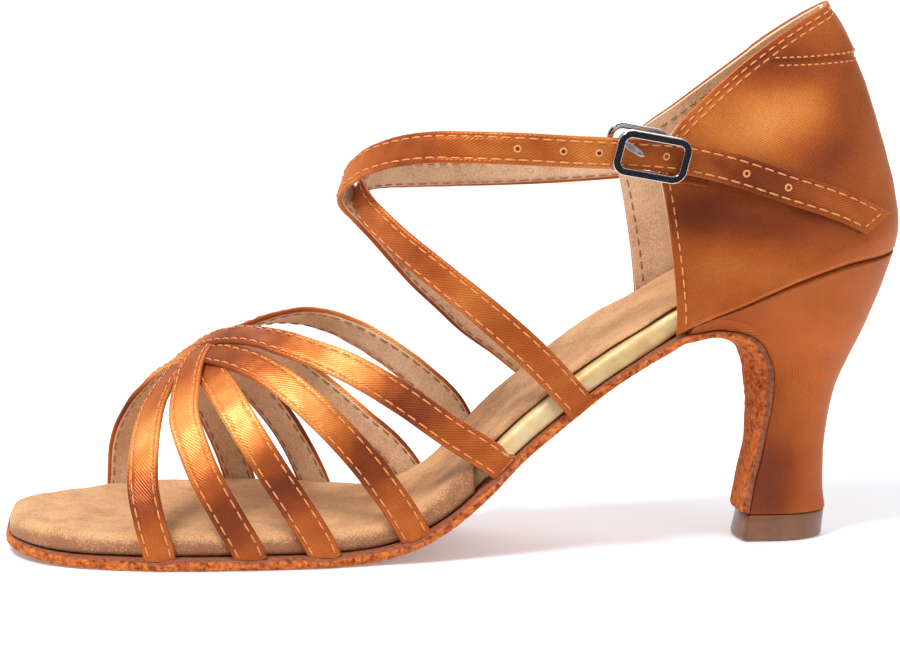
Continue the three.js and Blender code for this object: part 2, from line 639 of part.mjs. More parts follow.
function heel() {
  const flat = { x: 1, z: 0 };
  const columns = heelRows.map((row) => ({
    x: xAt(row.along),
    z: row.up * seatHeight,
    backX: xAt(row.backAlong),
    backZ: row.backUp * seatHeight,
    corner: row.corner * seatWidth,
    half: row.half * seatWidth,
    bow: row.bow * flapThickness,
  }));
  const places = columns.map((column, i) => i);
  const at = smoothRows(places, columns);
  const lastRow = columns.length - 1;
  const rings = [];
  for (let k = 0; k <= heelSteps; k += 1) {
    const top = k / heelSteps;
    const row = at(top * lastRow);
    const near = soleLine.frame(soleLine.end - flapPlace(row.x, row.z));
    const front = { x: row.x + near.nx * gap, z: row.z + near.nz * gap };
    const back = { x: row.backX, z: row.backZ };
    const blend = clamp01((top - seatBlend) / (1 - seatBlend)) ** 2;
    if (k === 0) {
      front.z = tipHeight + gap / 2;
      back.z = front.z;
    }
    const chord = (x) => mix(front.z, back.z, (x - front.x) / (back.x - front.x));
    const droop = (x) => blend * (boardLine.atX(x).z - gap / 2 - chord(x));
    const bend = k === 0 ? flat : { x: near.nx, z: near.nz };
    rings.push(heelRing(front, back, row.corner, row.half, row.bow, bend, droop));
  }
  return loft(rings);
}

// How far a breast point lies from the flap's lower end, measured along the sole line.
const flapReach = 0.4;         // share of the sole line that is searched
const flapSteps = 400;
function flapPlace(x, z) {
  let best = 0;
  let least = Infinity;
  for (let i = 0; i <= flapSteps; i += 1) {
    const back = (soleLine.end * flapReach * i) / flapSteps;
    const point = soleLine.frame(soleLine.end - back);
    const distance = Math.hypot(point.x - x, point.z - z);
    if (distance < least) {
      least = distance;
      best = back;
    }
  }
  return best;
}

const tipFlare = 0.35;         // wider just above its lower edge
const tipLean = 1.1;           // back from its foot to its top
const tipBow = 0.09;           // bulge of its front, share of its length
function topPiece() {
  const levels = [
    { up: 0, grow: 0 },
    { up: 0.085, grow: tipFlare },
    { up: 1, grow: 0 },
  ];
  const flat = { x: 1, z: 0 };
  return loft(levels.map(({ up, grow }) => {
    const z = up * (tipHeight - gap / 2);
    const front = { x: -tipLength / 2 - grow + up * tipLean, z };
    const back = { x: tipLength / 2 + grow + up * tipLean, z };
    const half = tipWidth / 2 + grow;
    return heelRing(front, back, half - gap, half, tipBow * tipLength, flat, () => 0);
  }));
}

// Quarter

const leanAt = smoothRows(leanRows.map((row) => row.rise), leanRows);
const outerAt = smoothRows(outerQuarter.map((row) => row.round), outerQuarter);
const innerAt = smoothRows(innerQuarter.map((row) => row.round), innerQuarter);

// A point of the quarter's outer face: round from -1 outer front edge over 0 back to 1 inner front edge.
function quarterPoint(round, rise) {
  const side = round < 0 ? -1 : 1;
  const row = (round < 0 ? outerAt : innerAt)(Math.abs(round));
  const lean = leanAt(rise).lean;
  const seatX = mix(seatFront, seatBack, row.seat);
  const seatY = seatHalf(row.seat);
  const seatZ = boardLine.atX(seatX).z + gap / 2;
  const x = mix(seatX, xAt(row.rimAlong), lean);
  const y = side * mix(seatY, row.rimAcross * seatWidth, lean);
  return vec(x, y, mix(seatZ, row.rimUp * collarHeight, rise));
}

function quarterNormal(round, rise) {
  const step = 0.01;
  const a = quarterPoint(Math.max(-1, round - step), rise);
  const b = quarterPoint(Math.min(1, round + step), rise);
  const c = quarterPoint(round, Math.max(0, rise - step));
  const d = quarterPoint(round, Math.min(1, rise + step));
  return b.sub(a).cross(d.sub(c)).normalize();
}

// The place on the quarter with a given x and z, found on one side.
function quarterPlace(x, z, side) {
  let [low, high] = [0, 1];
  let rise = 0.5;
  for (let i = 0; i < 30; i += 1) {
    const round = (low + high) / 2;
    const bottom = quarterPoint(side * round, 0).z;
    const top = quarterPoint(side * round, 1).z;
    rise = clamp01((z - bottom) / (top - bottom));
    if (quarterPoint(side * round, rise).x > x) low = round;
    else high = round;
  }
  return { round: (side * (low + high)) / 2, rise };
}

const rounds = [0, 0.06, 0.12, 0.19, 0.26, 0.34, 0.43, 0.53, 0.64, 0.75, 0.86, 0.94, 1];
const lowRises = [0, 0.1, 0.22, 0.36, 0.5, 0.64, 0.78, 0.9, 1];
const highRises = [0.06, 0.4, 0.75, 1];
function quarter(grow = 0) {
  const columns = [...rounds.slice(1).reverse().map((r) => -r), ...rounds];
  const rings = columns.map((round) => {
    const top = quarterPoint(round, 1).z;
    const bottom = quarterPoint(round, 0).z;
    const onTab = Math.abs(round) < tabRound;
    const seam = Math.min(seamTop, (tabHeight * collarHeight - bottom) / (top - bottom));
    const left = [];
    const right = [];
    const rises = [...lowRises.map((r) => r * seam), ...highRises.map((r) => mix(seam, 1, r))];
    rises.forEach((rise, i) => {
      const point = quarterPoint(round, rise);
      const normal = quarterNormal(round, rise);
      const raised = onTab && i >= lowRises.length ? tabRise : 0;
      left.push(point.clone().addScaledVector(normal, raised + grow));
      right.push(point.clone().addScaledVector(normal, -quarterWall - grow));
    });
    return { left, right };
  });
  return loft(rings);
}

// Straps

// A strap with rounded edges through points that each have an outward normal.
const strapShape = [
  { q: -1, high: 0.6, low: 0.4 },
  { q: -0.78, high: 1, low: 0 },
  { q: 0.78, high: 1, low: 0 },
  { q: 1, high: 0.6, low: 0.4 },
];
function strap(stations, width, thickness) {
  const rings = stations.map(({ point, normal }, i) => {
    const before = stations[Math.max(0, i - 1)].point;
    const after = stations[Math.min(stations.length - 1, i + 1)].point;
    const run = after.clone().sub(before).normalize();
    const out = normal.clone().addScaledVector(run, -normal.dot(run)).normalize();
    const side = out.clone().cross(run);
    const place = (q, h) => point.clone()
      .addScaledVector(side, (q * width) / 2)
      .addScaledVector(out, (h - 0.5) * thickness);
    return {
      left: strapShape.map(({ q, high }) => place(q, high)),
      right: strapShape.map(({ q, low }) => place(q, low)),
    };
  });
  return loft(rings);
}

const crestAt = smoothRows(crestRows.map((row) => -row.along), crestRows);

// A point on the toe box: around from 0 at the outer sole edge to 1 at the inner one.
function archPoint(along, around) {
  const x = xAt(along);
  const foot = footWidths(x);
  const edge = welt / 2;
  const base = soleThickness + gap;
  const half = (foot.outer + foot.inner) / 2 - edge;
  const middle = (foot.inner - foot.outer) / 2;
  const c = Math.cos(Math.PI * around);
  const s = Math.max(0, Math.sin(Math.PI * around));
  const round = 2 / archRound;
  const y = middle - half * Math.sign(c) * Math.abs(c) ** round + archPeak * half * s * s;
  const z = base + (crestAt(-along).crest * vampHeight - base) * s ** round;
  return vec(x, y, z);
}

function archNormal(along, around) {
  const step = 0.02;
  const near = THREE.MathUtils.clamp(around, step, 1 - step);
  const a = archPoint(along - step, near);
  const b = archPoint(along + step, near);
  const c = archPoint(along, near - step);
  const d = archPoint(along, near + step);
  return b.sub(a).cross(d.sub(c)).normalize().negate();
}

const toeSteps = 20;           // sections along a toe strap
const footing = 1.8;             // strap drawn on past its end, to be cut at the sole
const uprightShare = 0.06;     // how far round the box the strap stands upright
const alongWeight = 4;         // spacing of a strap's rows along the shoe
const aroundWeight = 3;        // and round the toe box
function toeStrap(rows) {
  const curve = new THREE.CatmullRomCurve3(
    rows.map((row) => vec(row.along * alongWeight, row.around * aroundWeight, row.lift)),
    false, 'centripetal');
  const stations = [];
  for (let i = 0; i <= toeSteps; i += 1) {
    const place = curve.getPoint(i / toeSteps);
    const [along, around] = [place.x / alongWeight, clamp01(place.y / aroundWeight)];
    const normal = archNormal(along, around);
    const point = archPoint(along, around);
    point.addScaledVector(normal, strapThickness / 2 + place.z * knotLift);
    // near the sole edge the strap stands upright on the welt
    const foot = clamp01(1 - Math.min(around, 1 - around) / uprightShare);
    const upright = vec(0, around < 0.5 ? -1 : 1, 0);
    point.addScaledVector(normal, (-foot * strapThickness) / 2);
    stations.push({ point, normal: normal.lerp(upright, foot).normalize() });
  }
  const beyond = (end, next) => {
    const run = end.point.clone().sub(next.point).normalize();
    return { point: end.point.clone().addScaledVector(run, footing), normal: end.normal };
  };
  const first = beyond(stations[0], stations[1]);
  const last = beyond(stations[toeSteps], stations[toeSteps - 1]);
  return strap([first, ...stations, last], strapWidth, strapThickness);
}

// The leg's axis, from which the instep straps face outward.
const legLow = vec(xAt(0.484), 2, 0.286 * instepHeight);
const legHigh = vec(xAt(0.351), 0, 1.14 * instepHeight);
function legNormal(point) {
  const axis = legHigh.clone().sub(legLow);
  const share = point.clone().sub(legLow).dot(axis) / axis.lengthSq();
  return point.clone().sub(legLow.clone().addScaledVector(axis, share)).normalize();
}

// The straps spread with the ball, and with the quarter where they near the ankle.
const ankleFrom = { along: 0.6, up: 0.6 };
const ankleTo = { along: 0.44, up: 0.85 };
const ankleSpread = 1.512;     // share of seatWidth
function legWidth(row) {
  const shares = ['along', 'up'].map((name) => (
    clamp01((row[name] - ankleFrom[name]) / (ankleTo[name] - ankleFrom[name]))));
  return mix(ballWidth, ankleSpread * seatWidth, shares[0] * shares[1]);
}
const instepPoint = (row) => {
  const y = row.across * legWidth(row);
  return vec(xAt(row.along), y, row.up * instepHeight);
};
function onQuarter(row, side) {
  const place = quarterPlace(xAt(row.along), row.up * instepHeight, side);
  const lift = gap + strapThickness / 2 + (row.lift ?? 0);
  const normal = quarterNormal(place.round, place.rise);
  return { point: quarterPoint(place.round, place.rise).addScaledVector(normal, lift), normal };
}

function instepStations(rows, ends, side) {
  const knots = rows.map((row) => {
    const point = instepPoint(row);
    return { point, normal: legNormal(point) };
  });
  knots.push(...ends.map((row) => onQuarter(row, side)));
  const path = new THREE.CatmullRomCurve3(knots.map((knot) => knot.point), false, 'centripetal');
  const facing = new THREE.CatmullRomCurve3(knots.map((knot) => knot.normal), false, 'centripetal');
  const each = 3;
  const count = each * (knots.length - 1);
  const stations = [];
  for (let i = 0; i <= count; i += 1) {
    const normal = facing.getPoint(i / count).normalize();
    stations.push({ point: path.getPoint(i / count), normal });
  }
  return stations;
}

const stationsA = instepStations(strapARows, strapAEnd, 1);
const stationsB = instepStations(strapBRows, strapBEnd, -1);

// Buckle

// Where the buckle sits on strap B, as a frame: along the strap, across it and outward.
function buckleSeat() {
  const middle = xAt(buckleAlong);
  const lateral = stationsB.slice(Math.floor(stationsB.length / 2));
  let i = 1;
  while (i < lateral.length - 2 && lateral[i].point.x < middle) i += 1;
  const along = lateral[i + 1].point.clone().sub(lateral[i - 1].point).normalize();
  const out = lateral[i].normal.clone().addScaledVector(along, -lateral[i].normal.dot(along)).normalize();
  along.applyAxisAngle(out, (-buckleTilt * Math.PI) / 180);
  return { point: lateral[i].point, along, side: out.clone().cross(along), out };
}
const seat = buckleSeat();

function roundedOutline(path, wide, high, corner) {
  const [w, h] = [wide / 2, high / 2];
  path.moveTo(-w + corner, -h);
  path.lineTo(w - corner, -h);
  path.absarc(w - corner, -h + corner, corner, -Math.PI / 2, 0);
  path.lineTo(w, h - corner);
  path.absarc(w - corner, h - corner, corner, 0, Math.PI / 2);
  path.lineTo(-w + corner, h);
  path.absarc(-w + corner, h - corner, corner, Math.PI / 2, Math.PI);
  path.lineTo(-w, -h + corner);
  path.absarc(-w + corner, -h + corner, corner, Math.PI, 1.5 * Math.PI);
  return path;
}

// A flat ring with rounded edges, in the strap's plane, at a height over the strap's middle.
function buckleRing(wide, high, bar, depth, corner, height, shift) {
  const shape = roundedOutline(new THREE.Shape(), wide, high, corner);
  shape.holes.push(roundedOutline(new THREE.Path(), wide - 2 * bar, high - 2 * bar, corner - bar * cornerFill));
  const bevel = depth * ringBevel;
  const geometry = new THREE.ExtrudeGeometry(shape, {
    depth: depth - 2 * bevel,
    bevelEnabled: true,
    bevelThickness: bevel,
    bevelSize: bevel,
    bevelOffset: -bevel,
    bevelSegments: 1,
    curveSegments: 2,
  });
  geometry.translate(shift, 0, height + bevel);
  return inStrap(geometry);
}

// Turns a shape drawn on the strap (x along, y across, z outward) into its place.
function inStrap(geometry) {
  const turn = new THREE.Matrix4().makeBasis(seat.along, seat.side, seat.out);
  turn.setPosition(seat.point);
  return geometry.applyMatrix4(turn);
}

const overStrap = strapThickness / 2 + gap;
const frameCorner = 3.6;
const cornerFill = 0.6;        // how much the inner corners follow the outer ones
const ringBevel = 0.2;         // share of the depth

function buckleFrame() {
  return buckleRing(frameLength, frameWidth, frameBar, frameDepth, frameCorner, overStrap, 0);
}

const hookBar = 1.5;
const hookDepth = 0.9;
const strapSlack = 1;          // room for the strap's curve behind the flat back frame
function buckleHook() {
  const height = -overStrap - strapSlack - hookDepth;
  const [wide, high] = [hookLength, frameWidth + 2 * gap];
  return buckleRing(wide, high, hookBar, hookDepth, frameCorner, height, -hookShift);
}

// The prong lies on the strap inside the frame, pointing back from the front bar.
const prongReach = 0.2;        // share of frameLength
const prongDepth = 0.8;        // share of frameDepth
const prongSide = 0.09;        // off the frame's middle, share of frameWidth
function buckleProng() {
  const reach = prongReach * frameLength;
  const start = -frameLength / 2 + frameBar + 2 * gap;
  const outline = new THREE.Shape();
  outline.moveTo(start, -prongWidth / 2);
  outline.lineTo(start + reach, -prongWidth / 2);
  outline.absarc(start + reach, 0, prongWidth / 2, -Math.PI / 2, Math.PI / 2);
  outline.lineTo(start, prongWidth / 2);
  const geometry = new THREE.ExtrudeGeometry(outline, {
    depth: prongDepth * frameDepth,
    bevelEnabled: false,
    curveSegments: 5,
  });
  geometry.translate(0, prongSide * frameWidth, overStrap);
  return inStrap(geometry);
}

// The stay lies on the quarter under the strap, and reaches the back frame.
function buckleLoop() {
  const lift = (loopThickness - strapThickness) / 2;
  const stations = loopRows.map((row) => onQuarter({ ...row, lift }, -1));
  return strap(stations, loopWidth, loopThickness);
}

// Assembly

const material = (color, roughness, metalness = 0) => new THREE.MeshStandardMaterial({
  color, roughness, metalness,
});
const satin = 0xc0602a;
const suede = 0xc8622a;
const group = new THREE.Group();
function add(name, geometry, look) {
  const mesh = new THREE.Mesh(geometry, look);
  mesh.name = name;
  group.add(mesh);
}

const soleSolid = toSolid(outsole(gap));
const boardSolid = toSolid(insole(gap));
const sockSolid = toSolid(sock(gap));
const quarterSolid = toSolid(quarter(gap));
const carriers = [soleSolid, boardSolid, sockSolid];

// Straps are joined, then cut back from what they stand on.
function upper(straps, cutters) {
  const joined = straps.map(toSolid).reduce((all, one) => all.add(one));
  return toGeometry(mainBody(cutters.reduce((left, cutter) => left.subtract(cutter), joined)));
}

add('outsole', outsole(), material(suede, 0.95));
add('insole', insole(), material(0xe3ce8f, 0.4, 0.3));
add('sock', sock(), material(0xc89b6a, 0.9));
add('heel', heel(), material(satin, 0.4));
add('top_piece', topPiece(), material(0x6b4a3a, 0.6));
add('quarter', quarter(), material(satin, 0.4));
add('vamp_straps', upper(toeStraps.map(toeStrap), carriers), material(satin, 0.4));
const instep = [stationsA, stationsB].map((stations) => strap(stations, strapWidth, strapThickness));
add('instep_straps', upper(instep, [...carriers, quarterSolid]), material(satin, 0.4));
const chrome = [0xd8d8d8, 0.12, 1];
add('buckle_frame', buckleFrame(), material(...chrome));
add('buckle_hook', buckleHook(), material(...chrome));
add('buckle_prong', buckleProng(), material(...chrome));
add('buckle_loop', buckleLoop(), material(satin, 0.6));

export default group;
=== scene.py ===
"""A Latin dance sandal for the left foot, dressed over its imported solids.

Lengths are in millimetres until a mesh is made. +Z is up, the toe points to -X
and the outer side of the foot, where the buckle sits, is -Y.
"""
import logging
import math
from dataclasses import dataclass
from enum import Enum
from typing import Sequence

import bmesh
import bpy
import numpy as np
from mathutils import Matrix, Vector


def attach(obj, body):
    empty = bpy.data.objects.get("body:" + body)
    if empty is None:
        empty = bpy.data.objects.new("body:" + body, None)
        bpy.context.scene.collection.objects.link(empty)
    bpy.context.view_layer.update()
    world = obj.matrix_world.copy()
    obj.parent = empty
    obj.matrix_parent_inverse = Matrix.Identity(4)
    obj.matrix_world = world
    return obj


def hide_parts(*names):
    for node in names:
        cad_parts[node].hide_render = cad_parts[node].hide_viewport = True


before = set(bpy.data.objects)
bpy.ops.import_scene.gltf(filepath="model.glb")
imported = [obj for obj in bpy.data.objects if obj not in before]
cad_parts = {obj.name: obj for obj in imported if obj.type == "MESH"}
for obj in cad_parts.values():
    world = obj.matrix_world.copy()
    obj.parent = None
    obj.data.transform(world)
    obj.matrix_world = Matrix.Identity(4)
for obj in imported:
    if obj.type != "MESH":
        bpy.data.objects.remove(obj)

Array = np.ndarray
Columns = dict[str, Array]
Tree, Node = bpy.types.NodeTree, bpy.types.Node
Socket, Object = bpy.types.NodeSocket, bpy.types.Object
log = logging.getLogger("sandal")
MM = 0.001
ROOT = "root"


# Numbers and curves

def mix(a: Array, b: Array, t: Array) -> Array:
    """Returns what lies a share t of the way from a to b."""
    return a + (b - a) * t


def clamp01(value: Array) -> Array:
    """Returns the value held between 0 and 1."""
    return np.clip(value, 0.0, 1.0)


def unit(vectors: Array) -> Array:
    """Returns vectors of length one in the same directions."""
    return vectors / np.maximum(np.linalg.norm(vectors, axis=-1, keepdims=True), 1e-12)


def bump(value: Array, middle: float, reach: float) -> Array:
    """Returns a smooth hump of height one.

    Args:
        value: where to read it.
        middle: where its top is.
        reach: half its width.
    """
    return np.exp(-((np.asarray(value) - middle) / reach) ** 2)


def ripple(points: Array, period: float, seed: int, waves: int = 7) -> Array:
    """Returns a smooth, seeded unevenness between about -1 and 1.

    Args:
        points: places to read it, in millimetres, last axis of three.
        period: rough distance between its humps.
        seed: picks one pattern.
        waves: how many waves it is made of.
    """
    rng = np.random.default_rng(seed)
    ways = unit(rng.normal(size=(waves, 3))) * rng.uniform(0.7, 1.5, (waves, 1))
    phases = rng.uniform(0, 2 * math.pi, waves)
    return np.sin(points @ ways.T * (2 * math.pi / period) + phases).sum(-1) / math.sqrt(waves * 1.6)


class Table:
    """Rows of named numbers, read as smooth curves that stay between their rows."""

    def __init__(self, names: str, rows: Sequence[Sequence[float]], places: Array | None = None) -> None:
        """Keeps the rows and works out the slope at each.

        Args:
            names: the columns' names, with spaces between.
            rows: the numbers, one row after the other.
            places: where each row stands, rising; the first column if left out.
        """
        self.names = names.split()
        self.rows = np.array(rows, float)
        self.places = np.asarray(self.rows[:, 0] if places is None else places, float)
        steps = np.diff(self.rows, axis=0) / np.diff(self.places)[:, None]
        before, after = steps[:-1], steps[1:]
        same = before * after > 0
        inner = np.where(same, 2 * before * after / np.where(same, before + after, 1), 0)
        self.slopes = np.vstack([steps[:1], inner, steps[-1:]])

    def column(self, name: str) -> Array:
        """Returns one column of the rows."""
        return self.rows[:, self.names.index(name)]

    def at(self, place: Array) -> Columns:
        """Returns every column at the given places."""
        place = np.asarray(place, float)
        i = np.clip(np.searchsorted(self.places, place) - 1, 0, len(self.places) - 2)
        span = self.places[i + 1] - self.places[i]
        t = clamp01((place - self.places[i]) / span)
        t, span = t[..., None], span[..., None]
        value = ((2 * t ** 3 - 3 * t ** 2 + 1) * self.rows[i]
                 + (t ** 3 - 2 * t ** 2 + t) * self.slopes[i] * span
                 + (3 * t ** 2 - 2 * t ** 3) * self.rows[i + 1]
                 + (t ** 3 - t ** 2) * self.slopes[i + 1] * span)
        return {name: value[..., k] for k, name in enumerate(self.names)}


class SideLine:
    """A curve in the side view that carries other columns along with it."""

    SAMPLES = 6001

    def __init__(self, columns: Columns) -> None:
        """Lays the curve through the rows' x and z."""
        steps = np.hypot(np.diff(columns["x"]), np.diff(columns["z"]))
        places = np.concatenate([[0.0], np.cumsum(steps)])
        table = Table(" ".join(columns), np.column_stack(list(columns.values())), places)
        self.end = float(places[-1])
        self.places = np.linspace(0, self.end, self.SAMPLES)
        self.values = table.at(self.places)
        dx, dz = np.gradient(self.values["x"]), np.gradient(self.values["z"])
        run = np.hypot(dx, dz)
        self.values["nx"], self.values["nz"] = -dz / run, dx / run

    def at(self, place: Array) -> Columns:
        """Returns the columns and the normal at places along the curve."""
        return {name: np.interp(place, self.places, value) for name, value in self.values.items()}

    def place_of(self, x: Array) -> Array:
        """Returns the places along the curve that have these x."""
        return np.interp(x, self.values["x"], self.places)

    def at_x(self, x: Array) -> Columns:
        """Returns the columns and the normal at these x."""
        return self.at(self.place_of(x))


def smooth_path(knots: Array, count: int) -> Array:
    """Returns points of a centripetal curve through knots.

    Args:
        knots: the points it goes through, one a row.
        count: how many points to return, evenly in the curve's own measure.
    """
    t = np.linspace(0, len(knots) - 1, count)
    i = np.minimum(t.astype(int), len(knots) - 2)
    w = (t - i)[:, None]
    held = np.vstack([2 * knots[0] - knots[1], knots, 2 * knots[-1] - knots[-2]])
    p0, p1, p2, p3 = held[i], held[i + 1], held[i + 2], held[i + 3]
    d0, d1, d2 = (np.sum((b - a) ** 2, axis=1, keepdims=True) ** 0.25
                  for a, b in ((p0, p1), (p1, p2), (p2, p3)))
    d1 = np.where(d1 < 1e-4, 1, d1)
    d0, d2 = np.where(d0 < 1e-4, d1, d0), np.where(d2 < 1e-4, d1, d2)
    m1 = ((p1 - p0) / d0 - (p2 - p0) / (d0 + d1) + (p2 - p1) / d1) * d1
    m2 = ((p2 - p1) / d1 - (p3 - p1) / (d1 + d2) + (p3 - p2) / d2) * d1
    return (p1 + m1 * w + (3 * (p2 - p1) - 2 * m1 - m2) * w ** 2
            + (2 * (p1 - p2) + m1 + m2) * w ** 3)


def arc_lengths(points: Array) -> Array:
    """Returns how far each point of a path lies from its start."""
    return np.concatenate([[0.0], np.cumsum(np.linalg.norm(np.diff(points, axis=0), axis=1))])


def read(places: Array, lengths: Array, rows: Array) -> Array:
    """Returns rows of three numbers as they are at places, where lengths says how far on each row lies."""
    return np.stack([np.interp(places, lengths, rows[:, k]) for k in range(3)], -1)


def rounded(loop: Array, times: int = 2) -> Array:
    """Returns closed sections with their corners cut round.

    Args:
        loop: sections, each a row of points that closes on itself.
        times: how often each corner is cut.
    """
    for _ in range(times):
        after = np.roll(loop, -1, axis=1)
        cut = np.stack([mix(loop, after, 0.25), mix(loop, after, 0.75)], axis=2)
        loop = cut.reshape(loop.shape[0], -1, 3)
    return loop


# Sizes and tables of the last, the same as in the solids

@dataclass(frozen=True)
class Sizes:
    """The sandal's main sizes in millimetres."""

    length: float = 226
    ball_width: float = 75
    seat_height: float = 73.6
    collar_height: float = 136.6
    vamp_height: float = 58
    heel_back: float = 29.4
    seat_width: float = 49.6
    sole_thickness: float = 3
    flap_thickness: float = 1.8
    welt: float = 2.6
    sock_height: float = 5.8
    waist_pad: float = 7
    sock_sheet: float = 1.4
    rim_roll: float = 2.4
    toe_over: float = 0.8
    quarter_wall: float = 2
    tab_rise: float = 0.5
    strap_width: float = 8
    strap_thickness: float = 1.6
    knot_lift: float = 1.7
    gap: float = 0.3

    @property
    def instep_height(self) -> float:
        """Floor to the strap in front of the ankle."""
        return 0.769 * self.collar_height

    def x_at(self, along: Array) -> Array:
        """Returns x at a share of the length from the back of the heel."""
        return self.heel_back - np.asarray(along) * self.length


SIZES = Sizes()

FOOT = Table("along rise outer inner belly edge", [
    (1.000, 0.0364, 0.000, 0.130, 0, 0.80), (0.996, 0.0313, 0.073, 0.205, 0, 0.85),
    (0.988, 0.0253, 0.130, 0.262, 0, 0.90), (0.975, 0.0172, 0.186, 0.323, 0, 0.95),
    (0.955, 0.0082, 0.240, 0.398, 0, 1), (0.925, 0.0027, 0.292, 0.478, 0, 1),
    (0.885, 0, 0.333, 0.555, 0, 1), (0.838, 0, 0.364, 0.604, 0, 1),
    (0.776, 0, 0.381, 0.619, 0, 1), (0.714, 0, 0.384, 0.597, 0, 1),
    (0.652, 0, 0.373, 0.531, 0, 1), (0.603, 0.0092, 0.353, 0.451, 0.1, 1),
    (0.562, 0.0392, 0.338, 0.386, 0.3, 0.95), (0.520, 0.1073, 0.330, 0.342, 0.6, 0.9),
    (0.480, 0.2095, 0.324, 0.324, 0.8, 0.87), (0.442, 0.3305, 0.322, 0.316, 0.8, 0.87),
    (0.389, 0.4675, 0.322, 0.312, 0.8, 0.87), (0.350, 0.5621, 0.322, 0.312, 0.8, 0.83),
    (0.310, 0.6434, 0.322, 0.316, 0.8, 0.8), (0.282, 0.6914, 0.317, 0.314, 0.8, 0.75),
], places=np.arange(20))

HEEL = Table("along up back_along back_up corner half bow belly", [
    (0.171, 0.100, 0.0790, 0.100, 0.188, 0.192, 0.8, 0.8),
    (0.1665, 0.196, 0.0820, 0.186, 0.188, 0.186, 0.5, 0.5),
    (0.159, 0.296, 0.0815, 0.292, 0.190, 0.186, 0.6, 0.6),
    (0.1527, 0.398, 0.0780, 0.400, 0.194, 0.194, 1.3, 1.3),
    (0.1470, 0.499, 0.0700, 0.520, 0.202, 0.214, 2.1, 2.1),
    (0.1460, 0.580, 0.0570, 0.616, 0.212, 0.246, 2.5, 2.5),
    (0.1530, 0.662, 0.0425, 0.706, 0.232, 0.298, 2.4, 2.4),
    (0.1673, 0.718, 0.0290, 0.788, 0.268, 0.354, 1.9, 1.9),
    (0.1920, 0.754, 0.0170, 0.860, 0.326, 0.408, 1.3, 1.3),
    (0.2210, 0.767, 0.0090, 0.928, 0.388, 0.456, 0.7, 0.8),
    (0.2500, 0.762, 0.0045, 0.996, 0.460, 0.500, 0.2, 1.35),
], places=np.arange(11))

SEAT = Table("along up", [
    (0.2520, 0.777), (0.2239, 0.819), (0.1956, 0.853), (0.1624, 0.897),
    (0.1288, 0.9375), (0.0942, 0.970), (0.0580, 0.992), (0.0044, 1.000),
], places=np.arange(8))

CREST_ROWS = np.array([
    (0.971, 0.38), (0.909, 0.49), (0.851, 0.615), (0.785, 0.785), (0.736, 0.888),
    (0.688, 0.958), (0.626, 1.035), (0.564, 1.110), (0.502, 1.190), (0.440, 1.270),
])
CREST = Table("along crest", CREST_ROWS, places=-CREST_ROWS[:, 0])

# along, around and lift of each toe strap, from the outer edge of the sole to the inner one
TOE_STRAPS = [
    [(0.838, 0.000, 0), (0.847, 0.065, 0), (0.853, 0.155, 0), (0.848, 0.273, 0),
     (0.837, 0.374, 0), (0.819, 0.455, 0), (0.795, 0.525, 0), (0.745, 0.640, 0),
     (0.668, 0.795, 0), (0.600, 0.895, 0), (0.560, 0.940, 0), (0.530, 0.985, 0)],
    [(0.739, 0.000, 0), (0.761, 0.051, 0), (0.784, 0.126, 0), (0.802, 0.250, 0.4),
     (0.799, 0.332, 0.9), (0.788, 0.420, 1), (0.768, 0.500, 0.5), (0.728, 0.560, 0),
     (0.679, 0.615, 0), (0.630, 0.688, 0), (0.578, 0.768, 0), (0.528, 0.840, 0),
     (0.495, 0.888, 0), (0.478, 0.930, 0), (0.470, 0.955, 0)],
    [(0.657, 0.000, 0), (0.684, 0.051, 0), (0.714, 0.120, 0), (0.742, 0.210, 0),
     (0.767, 0.340, 0), (0.777, 0.430, 0), (0.782, 0.520, 0), (0.765, 0.650, 0),
     (0.722, 0.800, 0), (0.672, 0.920, 0), (0.639, 1.000, 0)],
    [(0.548, 0.000, 0), (0.600, 0.088, 0), (0.661, 0.200, 0), (0.714, 0.310, 0.1),
     (0.754, 0.398, 0.4), (0.784, 0.485, 0.4), (0.814, 0.600, 0.2), (0.842, 0.710, 0),
     (0.859, 0.820, 0), (0.864, 0.905, 0), (0.865, 1.000, 0)],
    [(0.450, 0.072, 0), (0.516, 0.130, 0), (0.570, 0.195, 0), (0.632, 0.278, 0.2),
     (0.688, 0.358, 0.6), (0.739, 0.452, 1), (0.778, 0.545, 0.7), (0.793, 0.640, 0.2),
     (0.785, 0.745, 0), (0.760, 0.860, 0), (0.725, 1.000, 0)],
]

# along, up and across of the instep straps, then along, up and lift of their ends on the quarter
STRAP_A = [
    (0.358, 0.335, -0.342), (0.385, 0.405, -0.346), (0.426, 0.502, -0.350), (0.478, 0.603, -0.320),
    (0.527, 0.687, -0.253), (0.575, 0.769, -0.120), (0.601, 0.828, 0.000), (0.603, 0.857, 0.107),
    (0.583, 0.873, 0.213), (0.523, 0.867, 0.320), (0.441, 0.864, 0.373), (0.360, 0.870, 0.373),
]
STRAP_A_END = [(0.285, 0.885, 0), (0.235, 0.890, 0)]
STRAP_B = [
    (0.398, 0.372, 0.343), (0.415, 0.405, 0.345), (0.433, 0.438, 0.347), (0.468, 0.494, 0.347),
    (0.498, 0.556, 0.333), (0.534, 0.633, 0.293), (0.573, 0.730, 0.220), (0.603, 0.803, 0.155),
    (0.622, 0.855, 0.075), (0.617, 0.905, -0.025), (0.592, 0.955, -0.140), (0.543, 0.993, -0.280),
    (0.494, 1.000, -0.353), (0.443, 0.998, -0.380), (0.392, 0.992, -0.392), (0.352, 0.987, -0.390),
    (0.299, 0.980, -0.382),
]
STRAP_B_END = [(0.256, 0.960, 3.0), (0.200, 0.928, 1.6), (0.149, 0.890, 0.5), (0.084, 0.839, 0),
               (0.040, 0.788, 0)]
STAY = [(0.272, 0.925), (0.252, 0.920), (0.232, 0.912)]
BUCKLE_ALONG = 0.303

